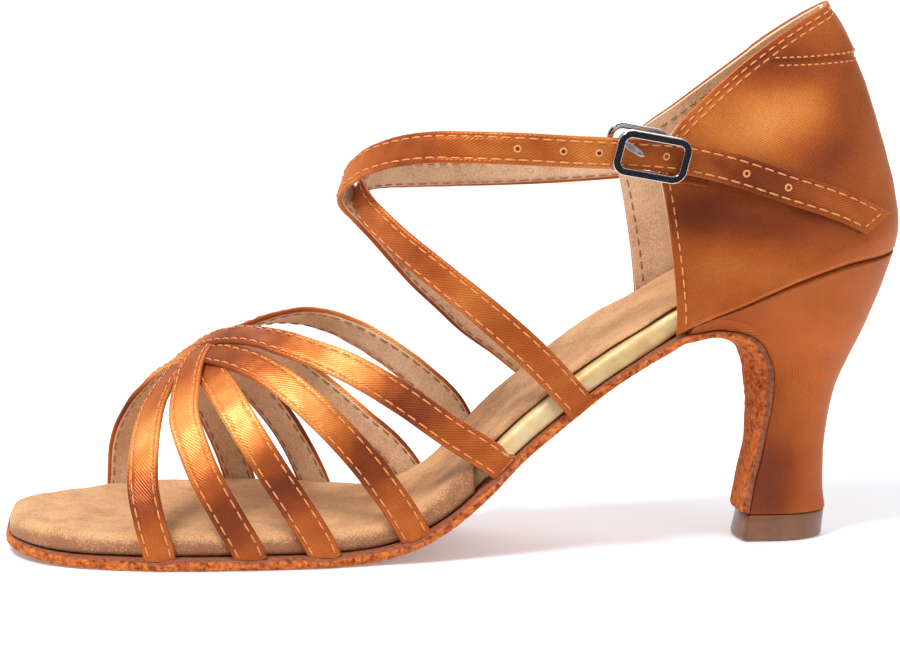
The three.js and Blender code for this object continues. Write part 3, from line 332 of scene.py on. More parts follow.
OUTER_QUARTER = Table("round seat along across up", [
    (0.00, 1.000, 0.0845, 0.000, 1.000), (0.12, 0.978, 0.0900, 0.085, 0.994),
    (0.25, 0.903, 0.1120, 0.152, 0.977), (0.40, 0.760, 0.1450, 0.222, 0.947),
    (0.60, 0.490, 0.1880, 0.300, 0.901), (0.80, 0.225, 0.2330, 0.378, 0.842),
    (0.93, 0.035, 0.2680, 0.440, 0.785), (1.00, -0.055, 0.2850, 0.476, 0.722),
])
INNER_QUARTER = Table("round seat along across up", [
    (0.00, 1.000, 0.0845, 0.000, 1.000), (0.12, 0.978, 0.0880, 0.085, 0.992),
    (0.25, 0.903, 0.1050, 0.165, 0.972), (0.40, 0.760, 0.1380, 0.240, 0.933),
    (0.60, 0.490, 0.1850, 0.322, 0.870), (0.80, 0.225, 0.2400, 0.405, 0.795),
    (0.93, -0.020, 0.2840, 0.455, 0.735), (1.00, -0.135, 0.3040, 0.484, 0.680),
])
LEAN = Table("rise lean", [
    (0.00, 0.000), (0.10, -0.050), (0.24, 0.010), (0.40, 0.133),
    (0.60, 0.350), (0.77, 0.570), (0.88, 0.740), (1.00, 1.000),
])


class Last:
    """The form that every piece is laid on: sole line, board line, toe box and quarter."""

    ARCH_ROUND = 2.35
    ARCH_PEAK = 0.175
    ROUND_FROM = 0.35
    WRAP_START, WRAP_END, GOLD_START = 0.486, 0.472, 0.458

    def __init__(self, sizes: Sizes) -> None:
        """Works out the lines from the tables."""
        self.s = s = sizes
        edge = FOOT.column("edge") * s.sole_thickness
        foot = {
            "x": s.x_at(FOOT.column("along")),
            "z": FOOT.column("rise") * s.seat_height + edge,
            "outer": FOOT.column("outer") * s.ball_width,
            "inner": FOOT.column("inner") * s.ball_width,
            "belly": FOOT.column("belly") * s.sole_thickness,
            "bow": np.zeros_like(edge),
            "edge": edge,
        }
        corner = HEEL.column("corner") * s.seat_width
        heel = {
            "x": s.x_at(HEEL.column("along")),
            "z": HEEL.column("up") * s.seat_height,
            "outer": corner,
            "inner": corner,
            "belly": HEEL.column("belly") * s.flap_thickness,
            "bow": HEEL.column("bow") * s.flap_thickness,
            "edge": np.full_like(corner, s.flap_thickness),
        }
        self.sole_line = SideLine({k: np.concatenate([foot[k], heel[k][::-1]]) for k in foot})
        seat_x, seat_z = s.x_at(SEAT.column("along")), SEAT.column("up") * s.seat_height
        self.board_line = SideLine({"x": np.concatenate([foot["x"], seat_x]),
                                    "z": np.concatenate([foot["z"], seat_z])})
        names = "x outer inner"
        self.widths = Table(names, np.column_stack([foot[k] for k in names.split()]), foot["x"])
        self.seat_front, self.seat_back = float(heel["x"][-1]), float(seat_x[-1])
        self.seat_corner = float(corner[-1])
        self.board_clear = s.quarter_wall + 3.5 * s.gap
        self.board_back = self.seat_back - self.board_clear
        self.pad_toe = float(s.x_at(1)) - s.toe_over
        self.board_toe = float(s.x_at(0.966))

    def half_at(self, a: Array, corner: Array, half: Array) -> Array:
        """Returns half the width of a heel section, a running from the breast to the back."""
        front = corner + (half - corner) * np.sin(math.pi / 2 * clamp01(a / self.ROUND_FROM))
        t = clamp01((a - self.ROUND_FROM) / (1 - self.ROUND_FROM))
        back = half * np.sqrt(np.maximum(0, 1 - t ** 2.2))
        return np.where(a < self.ROUND_FROM, front, back)

    def seat_half(self, a: Array) -> Array:
        """Returns half the width of the heel seat."""
        return self.half_at(a, self.seat_corner, self.s.seat_width / 2)

    def between(self, x: Array, start: float, end: float) -> Array:
        """Returns how far x lies between two places given as shares of the length."""
        first, last = self.s.x_at(start), self.s.x_at(end)
        return clamp01((x - first) / (last - first))

    def pad_at(self, x: Array) -> Columns:
        """Returns the widths and heights of the board and the sock at x."""
        s = self.s
        foot = self.widths.at(x)
        hidden = 1 - self.between(x, self.WRAP_END, self.GOLD_START)
        height = mix(s.sock_height, s.waist_pad, self.between(x, 0.54, 0.42))
        in_seat = self.between(x, 0.31, 0.265)
        a = clamp01((x - self.seat_front) / (self.board_back - self.seat_front))
        seat = np.maximum(1, self.seat_half(a) - self.board_clear)
        toeward = clamp01((x - self.pad_toe) / 26) ** 0.7
        pad = {"height": height, "board_height": height - s.sock_sheet,
               "wrapped": 1 - self.between(x, self.WRAP_START, self.WRAP_END)}
        for side in ("outer", "inner"):
            sock = foot[side] - mix(3.6, s.welt * toeward, hidden) + (1 - toeward) * s.toe_over
            board = foot[side] - mix(0.7, s.welt + s.rim_roll + 2 * s.gap, hidden)
            pad["sock_" + side] = np.maximum(0.6, mix(sock, seat - 1.2, in_seat))
            pad["board_" + side] = np.maximum(0.6, mix(board, seat, in_seat))
        return pad

    @staticmethod
    def across(line: Columns, q: Array, up: Array, outer: Array, inner: Array) -> Array:
        """Returns points across the shoe.

        Args:
            line: columns of a side line, one value a section.
            q: from -1 at the outer edge to 1 at the inner edge.
            up: height over the line, along its normal.
            outer: distance of the outer edge from the middle line.
            inner: distance of the inner edge from the middle line.

        Returns:
            A grid with one row for each section.
        """
        x, z, nx, nz = (line[k][:, None] for k in ("x", "z", "nx", "nz"))
        outer, inner = outer[:, None], inner[:, None]
        q = np.broadcast_to(q, np.broadcast_shapes(np.shape(q), np.shape(up), outer.shape))
        y = (inner - outer) / 2 + q * (inner + outer) / 2
        return np.stack(np.broadcast_arrays(x + nx * up, y, z + nz * up), axis=-1)

    def arch_point(self, along: Array, around: Array) -> Array:
        """Returns points of the toe box, around running from the outer to the inner sole edge."""
        s = self.s
        x = s.x_at(along)
        foot = self.widths.at(x)
        base = s.sole_thickness + s.gap
        half = (foot["outer"] + foot["inner"]) / 2 - s.welt / 2
        middle = (foot["inner"] - foot["outer"]) / 2
        c, d = np.cos(math.pi * around), np.maximum(0, np.sin(math.pi * around))
        power = 2 / self.ARCH_ROUND
        y = middle - half * np.sign(c) * np.abs(c) ** power + self.ARCH_PEAK * half * d * d
        z = base + (CREST.at(-along)["crest"] * s.vamp_height - base) * d ** power
        return np.stack(np.broadcast_arrays(x, y, z), axis=-1)

    def arch_normal(self, along: Array, around: Array) -> Array:
        """Returns the outward normal of the toe box."""
        step = 0.02
        near = np.clip(around, step, 1 - step)
        run = self.arch_point(along + step, near) - self.arch_point(along - step, near)
        turn = self.arch_point(along, near + step) - self.arch_point(along, near - step)
        return -unit(np.cross(run, turn))

    def quarter_point(self, turn: Array, rise: Array) -> Array:
        """Returns points of the quarter's outer face.

        Args:
            turn: from -1 at the outer front edge, over 0 at the back, to 1 at the inner one.
            rise: from 0 at the seat to 1 at the collar.
        """
        s = self.s
        turn, rise = np.broadcast_arrays(np.asarray(turn, float), np.asarray(rise, float))
        outer, inner = OUTER_QUARTER.at(np.abs(turn)), INNER_QUARTER.at(np.abs(turn))
        row = {k: np.where(turn < 0, outer[k], inner[k]) for k in outer}
        lean = LEAN.at(rise)["lean"]
        seat_x = mix(self.seat_front, self.seat_back, row["seat"])
        seat_z = self.board_line.at_x(seat_x)["z"] + s.gap / 2
        side = np.where(turn < 0, -1, 1)
        x = mix(seat_x, s.x_at(row["along"]), lean)
        y = side * mix(self.seat_half(row["seat"]), row["across"] * s.seat_width, lean)
        return np.stack([x, y, mix(seat_z, row["up"] * s.collar_height, rise)], axis=-1)

    def quarter_normal(self, turn: Array, rise: Array) -> Array:
        """Returns the outward normal of the quarter."""
        step = 0.01
        turn, rise = np.broadcast_arrays(np.asarray(turn, float), np.asarray(rise, float))
        a = self.quarter_point(np.maximum(-1, turn - step), rise)
        b = self.quarter_point(np.minimum(1, turn + step), rise)
        c = self.quarter_point(turn, np.maximum(0, rise - step))
        d = self.quarter_point(turn, np.minimum(1, rise + step))
        return unit(np.cross(b - a, d - c))

    def quarter_place(self, x: float, z: float, side: int) -> tuple[float, float]:
        """Returns the turn and rise of the quarter's point with this x and z on one side."""
        low, high, rise = 0.0, 1.0, 0.5
        for _ in range(30):
            turn = (low + high) / 2
            bottom, top = (self.quarter_point(side * turn, r)[2] for r in (0, 1))
            rise = float(clamp01((z - bottom) / (top - bottom)))
            if self.quarter_point(side * turn, rise)[0] > x:
                low = turn
            else:
                high = turn
        return side * (low + high) / 2, rise


LAST = Last(SIZES)


# Colours and materials

def linear(code: str, alpha: float = 1.0) -> tuple[float, float, float, float]:
    """Returns an sRGB hex colour as linear numbers."""
    parts = [int(code.lstrip("#")[k:k + 2], 16) / 255 for k in (0, 2, 4)]
    red, green, blue = (c / 12.92 if c <= 0.04045 else ((c + 0.055) / 1.055) ** 2.4 for c in parts)
    return red, green, blue, alpha


def add_node(tree: Tree, kind: str, inputs: dict | None = None, **settings) -> Node:
    """Adds a node with its settings, values and links.

    Args:
        tree: the material's nodes.
        kind: Blender's name for the node.
        inputs: a value, or the output of another node, for each input by name or number.
        settings: the node's own properties.

    Returns:
        The new node.
    """
    made = tree.nodes.new(kind)
    for name, value in settings.items():
        setattr(made, name, value)
    for name, value in (inputs or {}).items():
        socket = made.inputs[name]
        if isinstance(value, Socket):
            tree.links.new(value, socket)
        else:
            socket.default_value = value
    return made


def calculate(tree: Tree, operation: str, *values: Socket | float) -> Socket:
    """Adds a math node for the values and returns its result."""
    return add_node(tree, "ShaderNodeMath", dict(enumerate(values)), operation=operation).outputs["Value"]


def stretch(tree: Tree, value: Socket, to: tuple[float, float], start: float = 0, end: float = 1) -> Socket:
    """Lays one span of values over another.

    Args:
        tree: the material's nodes.
        value: what is read.
        to: both ends of the new span.
        start: the value that becomes the first of them.
        end: the value that becomes the second.

    Returns:
        The output of the new node.
    """
    ends = {"From Min": start, "From Max": end, "To Min": to[0], "To Max": to[1]}
    return add_node(tree, "ShaderNodeMapRange", {"Value": value, **ends}).outputs["Result"]


def painted_light_of(tree: Tree) -> Socket:
    """Adds a node that reads the piece's painted light and shade at each point."""
    return add_node(tree, "ShaderNodeAttribute", attribute_name="painted_light").outputs["Fac"]


def ramp(tree: Tree, value: Socket, stops: Sequence[tuple[float, str]]) -> Socket:
    """Adds a colour ramp and returns its colour output."""
    made = add_node(tree, "ShaderNodeValToRGB", {"Fac": value})
    elements = made.color_ramp.elements
    while len(elements) < len(stops):
        elements.new(0.5)
    for element, (place, code) in zip(elements, stops):
        element.position, element.color = place, linear(code)
    return made.outputs["Color"]


@dataclass(frozen=True)
class Finish:
    """What every finish has: a name and a way to make its material once."""

    name: str = "finish"

    def material(self) -> bpy.types.Material:
        """Returns the finish's material, made when first asked for."""
        found = bpy.data.materials.get(self.name)
        if found is not None:
            return found
        made = bpy.data.materials.new(self.name)
        made.use_nodes = True
        tree = made.node_tree
        shader = tree.nodes["Principled BSDF"]
        self.dress(tree, shader)
        return made

    def dress(self, tree: Tree, shader: Node) -> None:
        """Fills in the material's nodes."""
        raise NotImplementedError

    @staticmethod
    def noise(tree: Tree, period: float, detail: float = 2) -> Socket:
        """Returns a noise whose grains are about period millimetres apart."""
        where = add_node(tree, "ShaderNodeTexCoord").outputs["Object"]
        values = {"Vector": where, "Scale": 1 / (period * MM), "Detail": detail, "Roughness": 0.6}
        return add_node(tree, "ShaderNodeTexNoise", values).outputs["Fac"]

    def lay(self, tree: Tree, shader: Node, colour: Socket, height: Socket, depth: float,
            **values: float | tuple) -> None:
        """Gives the shader its colour, its bump and its own values.

        Args:
            tree: the material's nodes.
            shader: the node that takes it all.
            colour: output with the base colour.
            height: output with the bump's height.
            depth: what a height of one stands for, in millimetres.
            values: the shader's sockets, an underscore standing for a space.
        """
        tree.links.new(colour, shader.inputs["Base Color"])
        made = add_node(tree, "ShaderNodeBump", {"Height": height, "Distance": depth * MM, "Strength": 1})
        tree.links.new(made.outputs["Normal"], shader.inputs["Normal"])
        self.set_values(shader, **values)

    @staticmethod
    def set_values(shader: Node, **values: float | tuple) -> None:
        """Sets the shader's own sockets, an underscore standing for a space."""
        for name, value in values.items():
            shader.inputs[name.replace("_", " ")].default_value = value


@dataclass(frozen=True)
class Satin(Finish):
    """Duchess satin, woven as a twill: long floats give it a coloured, streaked gloss."""

    name: str = "satin_duchess"
    # painted light on the satin: from painted plum-dark shade through the plain orange to painted golden
    # highlight
    shade_to_highlight: tuple[str, ...] = ("#5A2A24", "#853C20", "#B25A28", "#D88240", "#EEAE66")
    twill: float = 0.62          # real floats are about 0.3 mm apart; drawn coarser so that they show
    angle: float = 32            # of the twill lines, to the pattern's first axis
    line_depth: float = 0.035
    cloud: float = 16
    slub: float = 0.8
    # how far the painted highlight and shade move the colour along the ramp
    painted_light_share: float = 0.42
    drift: tuple[float, float] = (0.36, 0.64)
    line_light: tuple[float, float] = (0.8, 1.14)
    slub_light: tuple[float, float] = (0.93, 1.07)
    roughness: float = 0.37

    def dress(self, tree: Tree, shader: Node) -> None:
        """Lays twill lines and slubs over a weave whose colour runs from painted shade to painted highlight
        as the piece's painted light says.
        """
        uv = add_node(tree, "ShaderNodeUVMap", uv_map="cloth").outputs["UV"]
        turn = (0, 0, math.radians(90 - self.angle))
        turned = add_node(tree, "ShaderNodeMapping", {"Vector": uv, "Rotation": turn}).outputs["Vector"]
        wave = add_node(tree, "ShaderNodeTexWave", {
            "Vector": turned, "Scale": 0.314 / self.twill, "Distortion": 0.9,
            "Detail": 2, "Detail Scale": 1.4,
        }, wave_type="BANDS", bands_direction="X").outputs["Fac"]
        grain = self.noise(tree, self.slub, 3)
        drift = stretch(tree, self.noise(tree, self.cloud, 2), self.drift)
        level = calculate(tree, "MULTIPLY_ADD", painted_light_of(tree), self.painted_light_share, drift)
        cloth = ramp(tree, level, [(k / (len(self.shade_to_highlight) - 1), code) for k, code in enumerate(self.shade_to_highlight)])
        flecks = stretch(tree, grain, self.slub_light, 0.3, 0.7)
        light = calculate(tree, "MULTIPLY", stretch(tree, wave, self.line_light), flecks)
        lit = add_node(tree, "ShaderNodeVectorMath", {0: cloth, "Scale": light}, operation="SCALE")
        along = add_node(tree, "ShaderNodeTangent", direction_type="UV_MAP", uv_map="cloth")
        tree.links.new(along.outputs["Tangent"], shader.inputs["Tangent"])
        self.lay(tree, shader, lit.outputs["Vector"], calculate(tree, "ADD", wave, grain), self.line_depth,
                 Roughness=self.roughness, Metallic=0.3, Anisotropic=0.55, Sheen_Weight=0.25,
                 Sheen_Roughness=0.35, Sheen_Tint=linear("#F2A45E"), Specular_Tint=linear("#FFC08A"))


@dataclass(frozen=True)
class Suede(Finish):
    """Chrome suede, brushed: a raised nap that scatters light and hides any gloss."""

    name: str = "suede_brushed"
    light: str = "#DE8440"
    middle: str = "#BE6230"
    shade: str = "#6E2E18"
    # colours of the painted shade band
    shaded_band_pale: str = "#A8674C"
    shaded_band_deep: str = "#6E3A2C"

    def dress(self, tree: Tree, shader: Node) -> None:
        """Mottles the nap and turns to a darker brown, painted shade, where the piece's painted light says
        so.
        """
        nap = self.noise(tree, 1.0, 4)
        half = calculate(tree, "MULTIPLY", calculate(tree, "ADD", nap, self.noise(tree, 1.9, 3)), 0.5)
        face = ramp(tree, half, [(0.38, self.shade), (0.5, self.middle), (0.62, self.light)])
        # painted shade: the darker brown of the band under the sock's rim and on the flap, mottled by the nap
        edge = ramp(tree, nap, [(0.3, self.shaded_band_deep), (0.7, self.shaded_band_pale)])
        ragged_shade = calculate(tree, "ADD", painted_light_of(tree), calculate(tree, "MULTIPLY", nap, 0.8))
        share = stretch(tree, ragged_shade, (0, 1), 0.8, 1)
        colour = add_node(tree, "ShaderNodeMix", {"Factor": share, 6: face, 7: edge}, data_type="RGBA")
        self.lay(tree, shader, colour.outputs[2], nap, 0.6, Roughness=0.95, Sheen_Weight=0.35,
                 Sheen_Roughness=0.5, Sheen_Tint=linear("#F0A060"), Specular_IOR_Level=0.15)


@dataclass(frozen=True)
class Nap(Finish):
    """Microfibre or lining suede: a short, soft pile with patches where it lies the other way."""

    name: str = "microfibre_pile"
    light: str = "#DCAE80"
    middle: str = "#C8976A"
    shade: str = "#946448"
    grain: float = 0.45
    patch: float = 9
    depth: float = 0.12

    def dress(self, tree: Tree, shader: Node) -> None:
        """Blends fine pile with the larger patches, and darkens it where the piece's painted shade says."""
        pile = self.noise(tree, self.grain, 4)
        mean = add_node(tree, "ShaderNodeMix", {"Factor": 0.62, 2: self.noise(tree, self.patch, 3), 3: pile})
        level = calculate(tree, "MULTIPLY_ADD", painted_light_of(tree), 0.22, mean.outputs[0])
        colour = ramp(tree, level, [(0.34, self.shade), (0.5, self.middle), (0.68, self.light)])
        self.lay(tree, shader, colour, pile, self.depth, Roughness=0.92, Sheen_Weight=0.3,
                 Sheen_Roughness=0.45, Sheen_Tint=linear("#F3D9B8"), Specular_IOR_Level=0.2)


@dataclass(frozen=True)
class GoldSheet(Finish):
    """Foil-faced synthetic leather: pale gold, finely grained, with a soft metal gloss."""

    name: str = "gold_foil_sheet"

    def dress(self, tree: Tree, shader: Node) -> None:
        """Adds the fine grain and faint patches."""
        colour = ramp(tree, self.noise(tree, 7, 2), [(0.3, "#CDAA70"), (0.5, "#DCBD88"), (0.72, "#EAD3A6")])
        self.lay(tree, shader, colour, self.noise(tree, 0.55, 3), 0.1, Roughness=0.5, Metallic=0.3)


@dataclass(frozen=True)
class Plain(Finish):
    """A smooth material with a faint unevenness, such as thread, moulded plastic or shadowed cord."""

    name: str = "polyester_thread"
    colour: str = "#E29A5C"
    other: str = "#CC7E44"
    roughness: float = 0.5
    grain: float = 0.3
    depth: float = 0.02
    coat: float = 0.0

    def dress(self, tree: Tree, shader: Node) -> None:
        """Varies the colour a little and adds a slight bump."""
        grain = self.noise(tree, self.grain, 2)
        colour = ramp(tree, grain, [(0.35, self.other), (0.65, self.colour)])
        self.lay(tree, shader, colour, grain, self.depth, Roughness=self.roughness, Coat_Weight=self.coat)


@dataclass(frozen=True)
class Chrome(Finish):
    """Bright chrome over a zinc casting: dark and light reflections with faint polishing haze."""

    name: str = "chrome_plate"
    clear: float = 0.08
    hazy: float = 0.2

    def dress(self, tree: Tree, shader: Node) -> None:
        """Varies the haze slightly."""
        haze = stretch(tree, self.noise(tree, 1.6, 2), (self.clear, self.hazy))
        tree.links.new(haze, shader.inputs["Roughness"])
        self.set_values(shader, Base_Color=linear("#DDDDE0"), Metallic=1.0)


class Cloth(Enum):
    """The finishes that the pieces share."""

    STRAP = Satin()
    QUARTER = Satin(name="satin_quarter", angle=-33)
    HEEL = Satin(name="satin_heel", angle=78)
    SUEDE = Suede()
    SOCK = Nap()
    LINING = Nap(name="lining_suede", light="#E6C6A6", middle="#D4AE8C", shade="#B08866", grain=0.4,
                 patch=12)
    GOLD = GoldSheet()
    THREAD = Plain()
    BOBBIN = Plain(name="bobbin_thread", colour="#A67C58", other="#8A6040")
    PIPING = Plain(name="lining_edge", colour="#F0DCC0", other="#DDBE98", roughness=0.8)
    TIP = Plain(name="polyurethane_tip", colour="#7C5238", other="#724A32", roughness=0.32, grain=3,
                coat=0.15)
    CHROME = Chrome()
    PRONG = Chrome(name="chrome_worn", clear=0.35, hazy=0.5)
    # painted shade standing for the inside of a hole
    HOLE_SHADE = Plain(name="hole_painted_shade", colour="#4A2418", other="#38180F", roughness=0.9)

    @property
    def material(self) -> bpy.types.Material:
        """Returns the finish's material."""
        return self.value.material()


# Meshes

class Skin:
    """Collects the patches of one piece and makes them a mesh."""

    def __init__(self, name: str, *cloths: Cloth) -> None:
        """Starts an empty piece with its finishes in order."""
        self.name = name
        self.cloths = cloths
        self.points, self.faces, self.uvs, self.kinds, self.marks = ([] for _ in range(5))
        self.count = 0

    def grid(self, points: Array, uv: Array | None = None, kind: int | Array = 0, wrap: bool = False,
             loop: bool = False, mark: Array | None = None) -> None:
        """Adds a grid of faces.

        Args:
            points: rows and columns of points, in millimetres.
            uv: pattern coordinates in millimetres, with one more column where the grid wraps.
            kind: which finish, for all or for each column of faces.
            wrap: joins the last column to the first.
            loop: joins the last row to the first.
            mark: a number for each point, kept as the attribute painted_light: painted light and shade.
        """
        rows, columns = points.shape[:2]
        if uv is None:
            uv = np.zeros((rows + loop, columns + wrap, 2))
        index = np.arange(rows * columns).reshape(rows, columns) + self.count
        if wrap:
            index = np.hstack([index, index[:, :1]])
        if loop:
            index = np.vstack([index, index[:1]])
        corners = np.s_[:-1, :-1], np.s_[:-1, 1:], np.s_[1:, 1:], np.s_[1:, :-1]
        quads = np.stack([index[c] for c in corners], axis=-1)
        self.faces.append(quads.reshape(-1, 4))
        self.uvs.append(np.stack([uv[c] for c in corners], axis=2).reshape(-1, 4, 2))
        self.kinds.append(np.broadcast_to(kind, quads.shape[:2]).reshape(-1))
        self.points.append(points.reshape(-1, 3))
        self.marks.append(np.zeros(rows * columns) if mark is None else np.asarray(mark, float).reshape(-1))
        self.count += rows * columns

    def tube(self, loops: Array, uv: Array | None = None, kind: int | Array = 0,
             mark: Array | None = None) -> None:
        """Adds closed sections with both ends shut. Each section has an even number of points."""
        self.grid(loops, uv, kind, wrap=True, mark=mark)
        half = loops.shape[1] // 2
        last_kind = int(np.asarray(kind).flat[0])
        for ring in (loops[0], loops[-1]):
            strip = np.stack([ring[:half], ring[::-1][:half]])
            self.grid(strip, strip[..., :2], last_kind)

    def make(self, *nodes: str, slot: str) -> Object:
        """Makes the object, fastens it to the body and hides the solids that it replaces.

        Args:
            nodes: CAD nodes that this piece stands for.
            slot: a material slot's name, not used.
        """
        mesh = bpy.data.meshes.new(self.name)
        points = np.vstack(self.points) * MM
        faces = np.vstack(self.faces)
        mesh.from_pydata(points.tolist(), [], faces.tolist())
        layer = mesh.uv_layers.new(name="cloth")
        layer.data.foreach_set("uv", np.vstack(self.uvs).astype(np.float32).ravel())
        mesh.polygons.foreach_set("material_index", np.concatenate(self.kinds).astype(np.int32))
        mesh.polygons.foreach_set("use_smooth", np.ones(len(faces), bool))
        # the painted light and shade of each point, read by the finishes
        marks = mesh.attributes.new("painted_light", "FLOAT", "POINT")
        marks.data.foreach_set("value", np.concatenate(self.marks).astype(np.float32))
        for cloth in self.cloths:
            mesh.materials.append(cloth.material)
        work = bmesh.new()
        work.from_mesh(mesh)
        bmesh.ops.recalc_face_normals(work, faces=work.faces)
        work.to_mesh(mesh)
        work.free()
        made = bpy.data.objects.new(self.name, mesh)
        bpy.context.scene.collection.objects.link(made)
        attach(made, ROOT)
        if nodes:
            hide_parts(*nodes)
        log.info("%s: %d faces", self.name, len(faces))
        return made


@dataclass(frozen=True)
class Seam:
    """A row of lock stitches: thread size, pitch and how much of it shows.

    A stitch sunk further than that below the board's line is left out, up to where the leg begins.
    """

    pitch: float = 3.4
    shown: float = 2.55
    thread: float = 0.36
    sunk: float = 0.2
    leg_from: float = 60

    def sew(self, skin: Skin, path: Array, normals: Array, kind: int = 0, start: float = 0.8) -> None:
        """Adds the stitches along a path on a surface.

        Args:
            skin: the piece that takes the stitches.
            path: points of the row, on the surface.
            normals: the surface's outward normals there.
            kind: the thread's finish.
            start: distance of the first stitch from the path's start.
        """
        lengths = arc_lengths(path)
        firsts = np.arange(start, lengths[-1] - self.shown - 0.3, self.pitch)
        if len(firsts) == 0:
            return
        radius = self.thread / 2
        t = np.array([0, 0.12, 0.35, 0.65, 0.88, 1])
        rise = np.array([-0.9, 0.1, 0.55, 0.55, 0.1, -0.9]) * radius
        fat = np.array([0.55, 0.95, 1.1, 1.1, 0.95, 0.55]) * radius
        places = firsts[:, None] + t * self.shown
        at, out = read(places, lengths, path), unit(read(places, lengths, normals))
        ahead = unit(np.gradient(at, axis=1))
        side = unit(np.cross(out, ahead))
        turn = np.linspace(0, 2 * math.pi, 6, endpoint=False)
        ring = (side[:, :, None] * np.cos(turn)[:, None] * 1.15 + out[:, :, None] * np.sin(turn)[:, None])
        solid = (at + out * rise[:, None])[:, :, None] + ring * fat[:, None, None]
        bare = at[..., 2].min(axis=1) > LAST.board_line.at_x(at[:, 0, 0])["z"] - self.sunk
        for one in solid[bare | (at[:, 0, 2] > self.leg_from)]:
            skin.grid(one, None, kind, wrap=True)


# The pieces

@dataclass
class Outsole:
    """Suede sole whose back runs down the heel's breast as a flap."""

    ring_step: float = 0.75
    roughness: float = 0.13
    dip: float = 1.0
    dip_reach: float = 4.2
    dip_bulge: float = 0.45
    shaded_share: tuple[float, float] = (0.14, 0.8)     # of the wall under painted shade, on the sole and the flap
    floor_clear: float = 0.02
    strap_feet: tuple[float, ...] = (0.838, 0.739, 0.657, 0.556, 0.458)
    inner_feet: tuple[float, ...] = (0.865, 0.725, 0.639, 0.55, 0.482)

    def build(self) -> Object:
        """Makes the sole from sections along its line."""
        line = LAST.sole_line
        places = np.linspace(0, line.end, int(line.end / self.ring_step))
        row = line.at(places)
        along = (SIZES.heel_back - row["x"]) / SIZES.length
        on_foot = clamp01((places[-1] * 0.72 - places) / 10)
        dips = [self.dip * on_foot * sum(bump(row["x"], float(SIZES.x_at(a)), self.dip_reach) for a in feet)
                for feet in (self.strap_feet, self.inner_feet)]
        edge, bow, belly = (row[k][:, None] for k in ("edge", "bow", "belly"))
        top_q = np.array([-0.965, -0.9, -0.7, -0.45, -0.2, 0.2, 0.45, 0.7, 0.9, 0.965])
        wall_t = np.array([0.0, 0.08, 0.2, 0.34, 0.5, 0.66, 0.82, 0.94])
        low_q = np.array([0.97, 0.92, 0.84, 0.72, 0.58, 0.42, 0.25, 0.08])
        low_q = np.concatenate([low_q, -low_q[::-1]])
        out = 0.35 * np.sin(math.pi * np.clip(wall_t * 1.05, 0, 1)) ** 0.7 - 0.45 * wall_t ** 4
        wide = row["outer"], row["inner"]
        half = sum(wide)[:, None] / 2
        parts = [LAST.across(row, top_q, -bow * (1 - top_q ** 2), *wide)]
        # painted shade on the top of the sole's rim, under the sock
        marks = [np.full((len(places), len(top_q)), 0.6)]
        flap = clamp01((places - line.end * 0.78) / 12)[:, None]
        shown = mix(*self.shaded_share, flap)
        for side, dip in ((1, dips[1][:, None]), (-1, dips[0][:, None])):
            t, swell = wall_t[::side], out[::side]
            depth = edge * t + dip * (1 - t) ** 1.5
            q = side * (1 + (swell + self.dip_bulge * dip * np.sin(math.pi * np.minimum(1, t + 0.25))) / half)
            parts.append(LAST.across(row, q, -depth, *wide))
            # painted shade on the top share of each wall, and on most of the flap's wall
            marks.append(clamp01(0.5 + (shown - t) * 3.0))
            if side > 0:
                rim = np.maximum(0, np.abs(low_q) - 0.9) / 0.1
                under = edge + belly * (1 - low_q ** 2) - 0.25 * rim
                parts.append(LAST.across(row, low_q, -under, *wide))
                marks.append(np.zeros((len(places), len(low_q))))
        loops = np.concatenate(parts, axis=1)
        mark = np.concatenate(marks, axis=1)
        fuzz = ripple(loops, 1.7, 11) + 0.6 * ripple(loops, 0.9, 12)
        wave = ripple(loops, 14, 13)
        away = unit(loops - loops.mean(axis=1, keepdims=True))
        size = np.where(mark > 0.55, 0.35, 1.0) * self.roughness
        loops = loops + away * (size * fuzz + 0.1 * wave)[..., None]
        loops[..., 2] = np.maximum(loops[..., 2], self.floor_clear)
        skin = Skin("sole_suede", Cloth.SUEDE)
        skin.tube(loops, mark=mark)
        return skin.make("outsole", slot="suede")


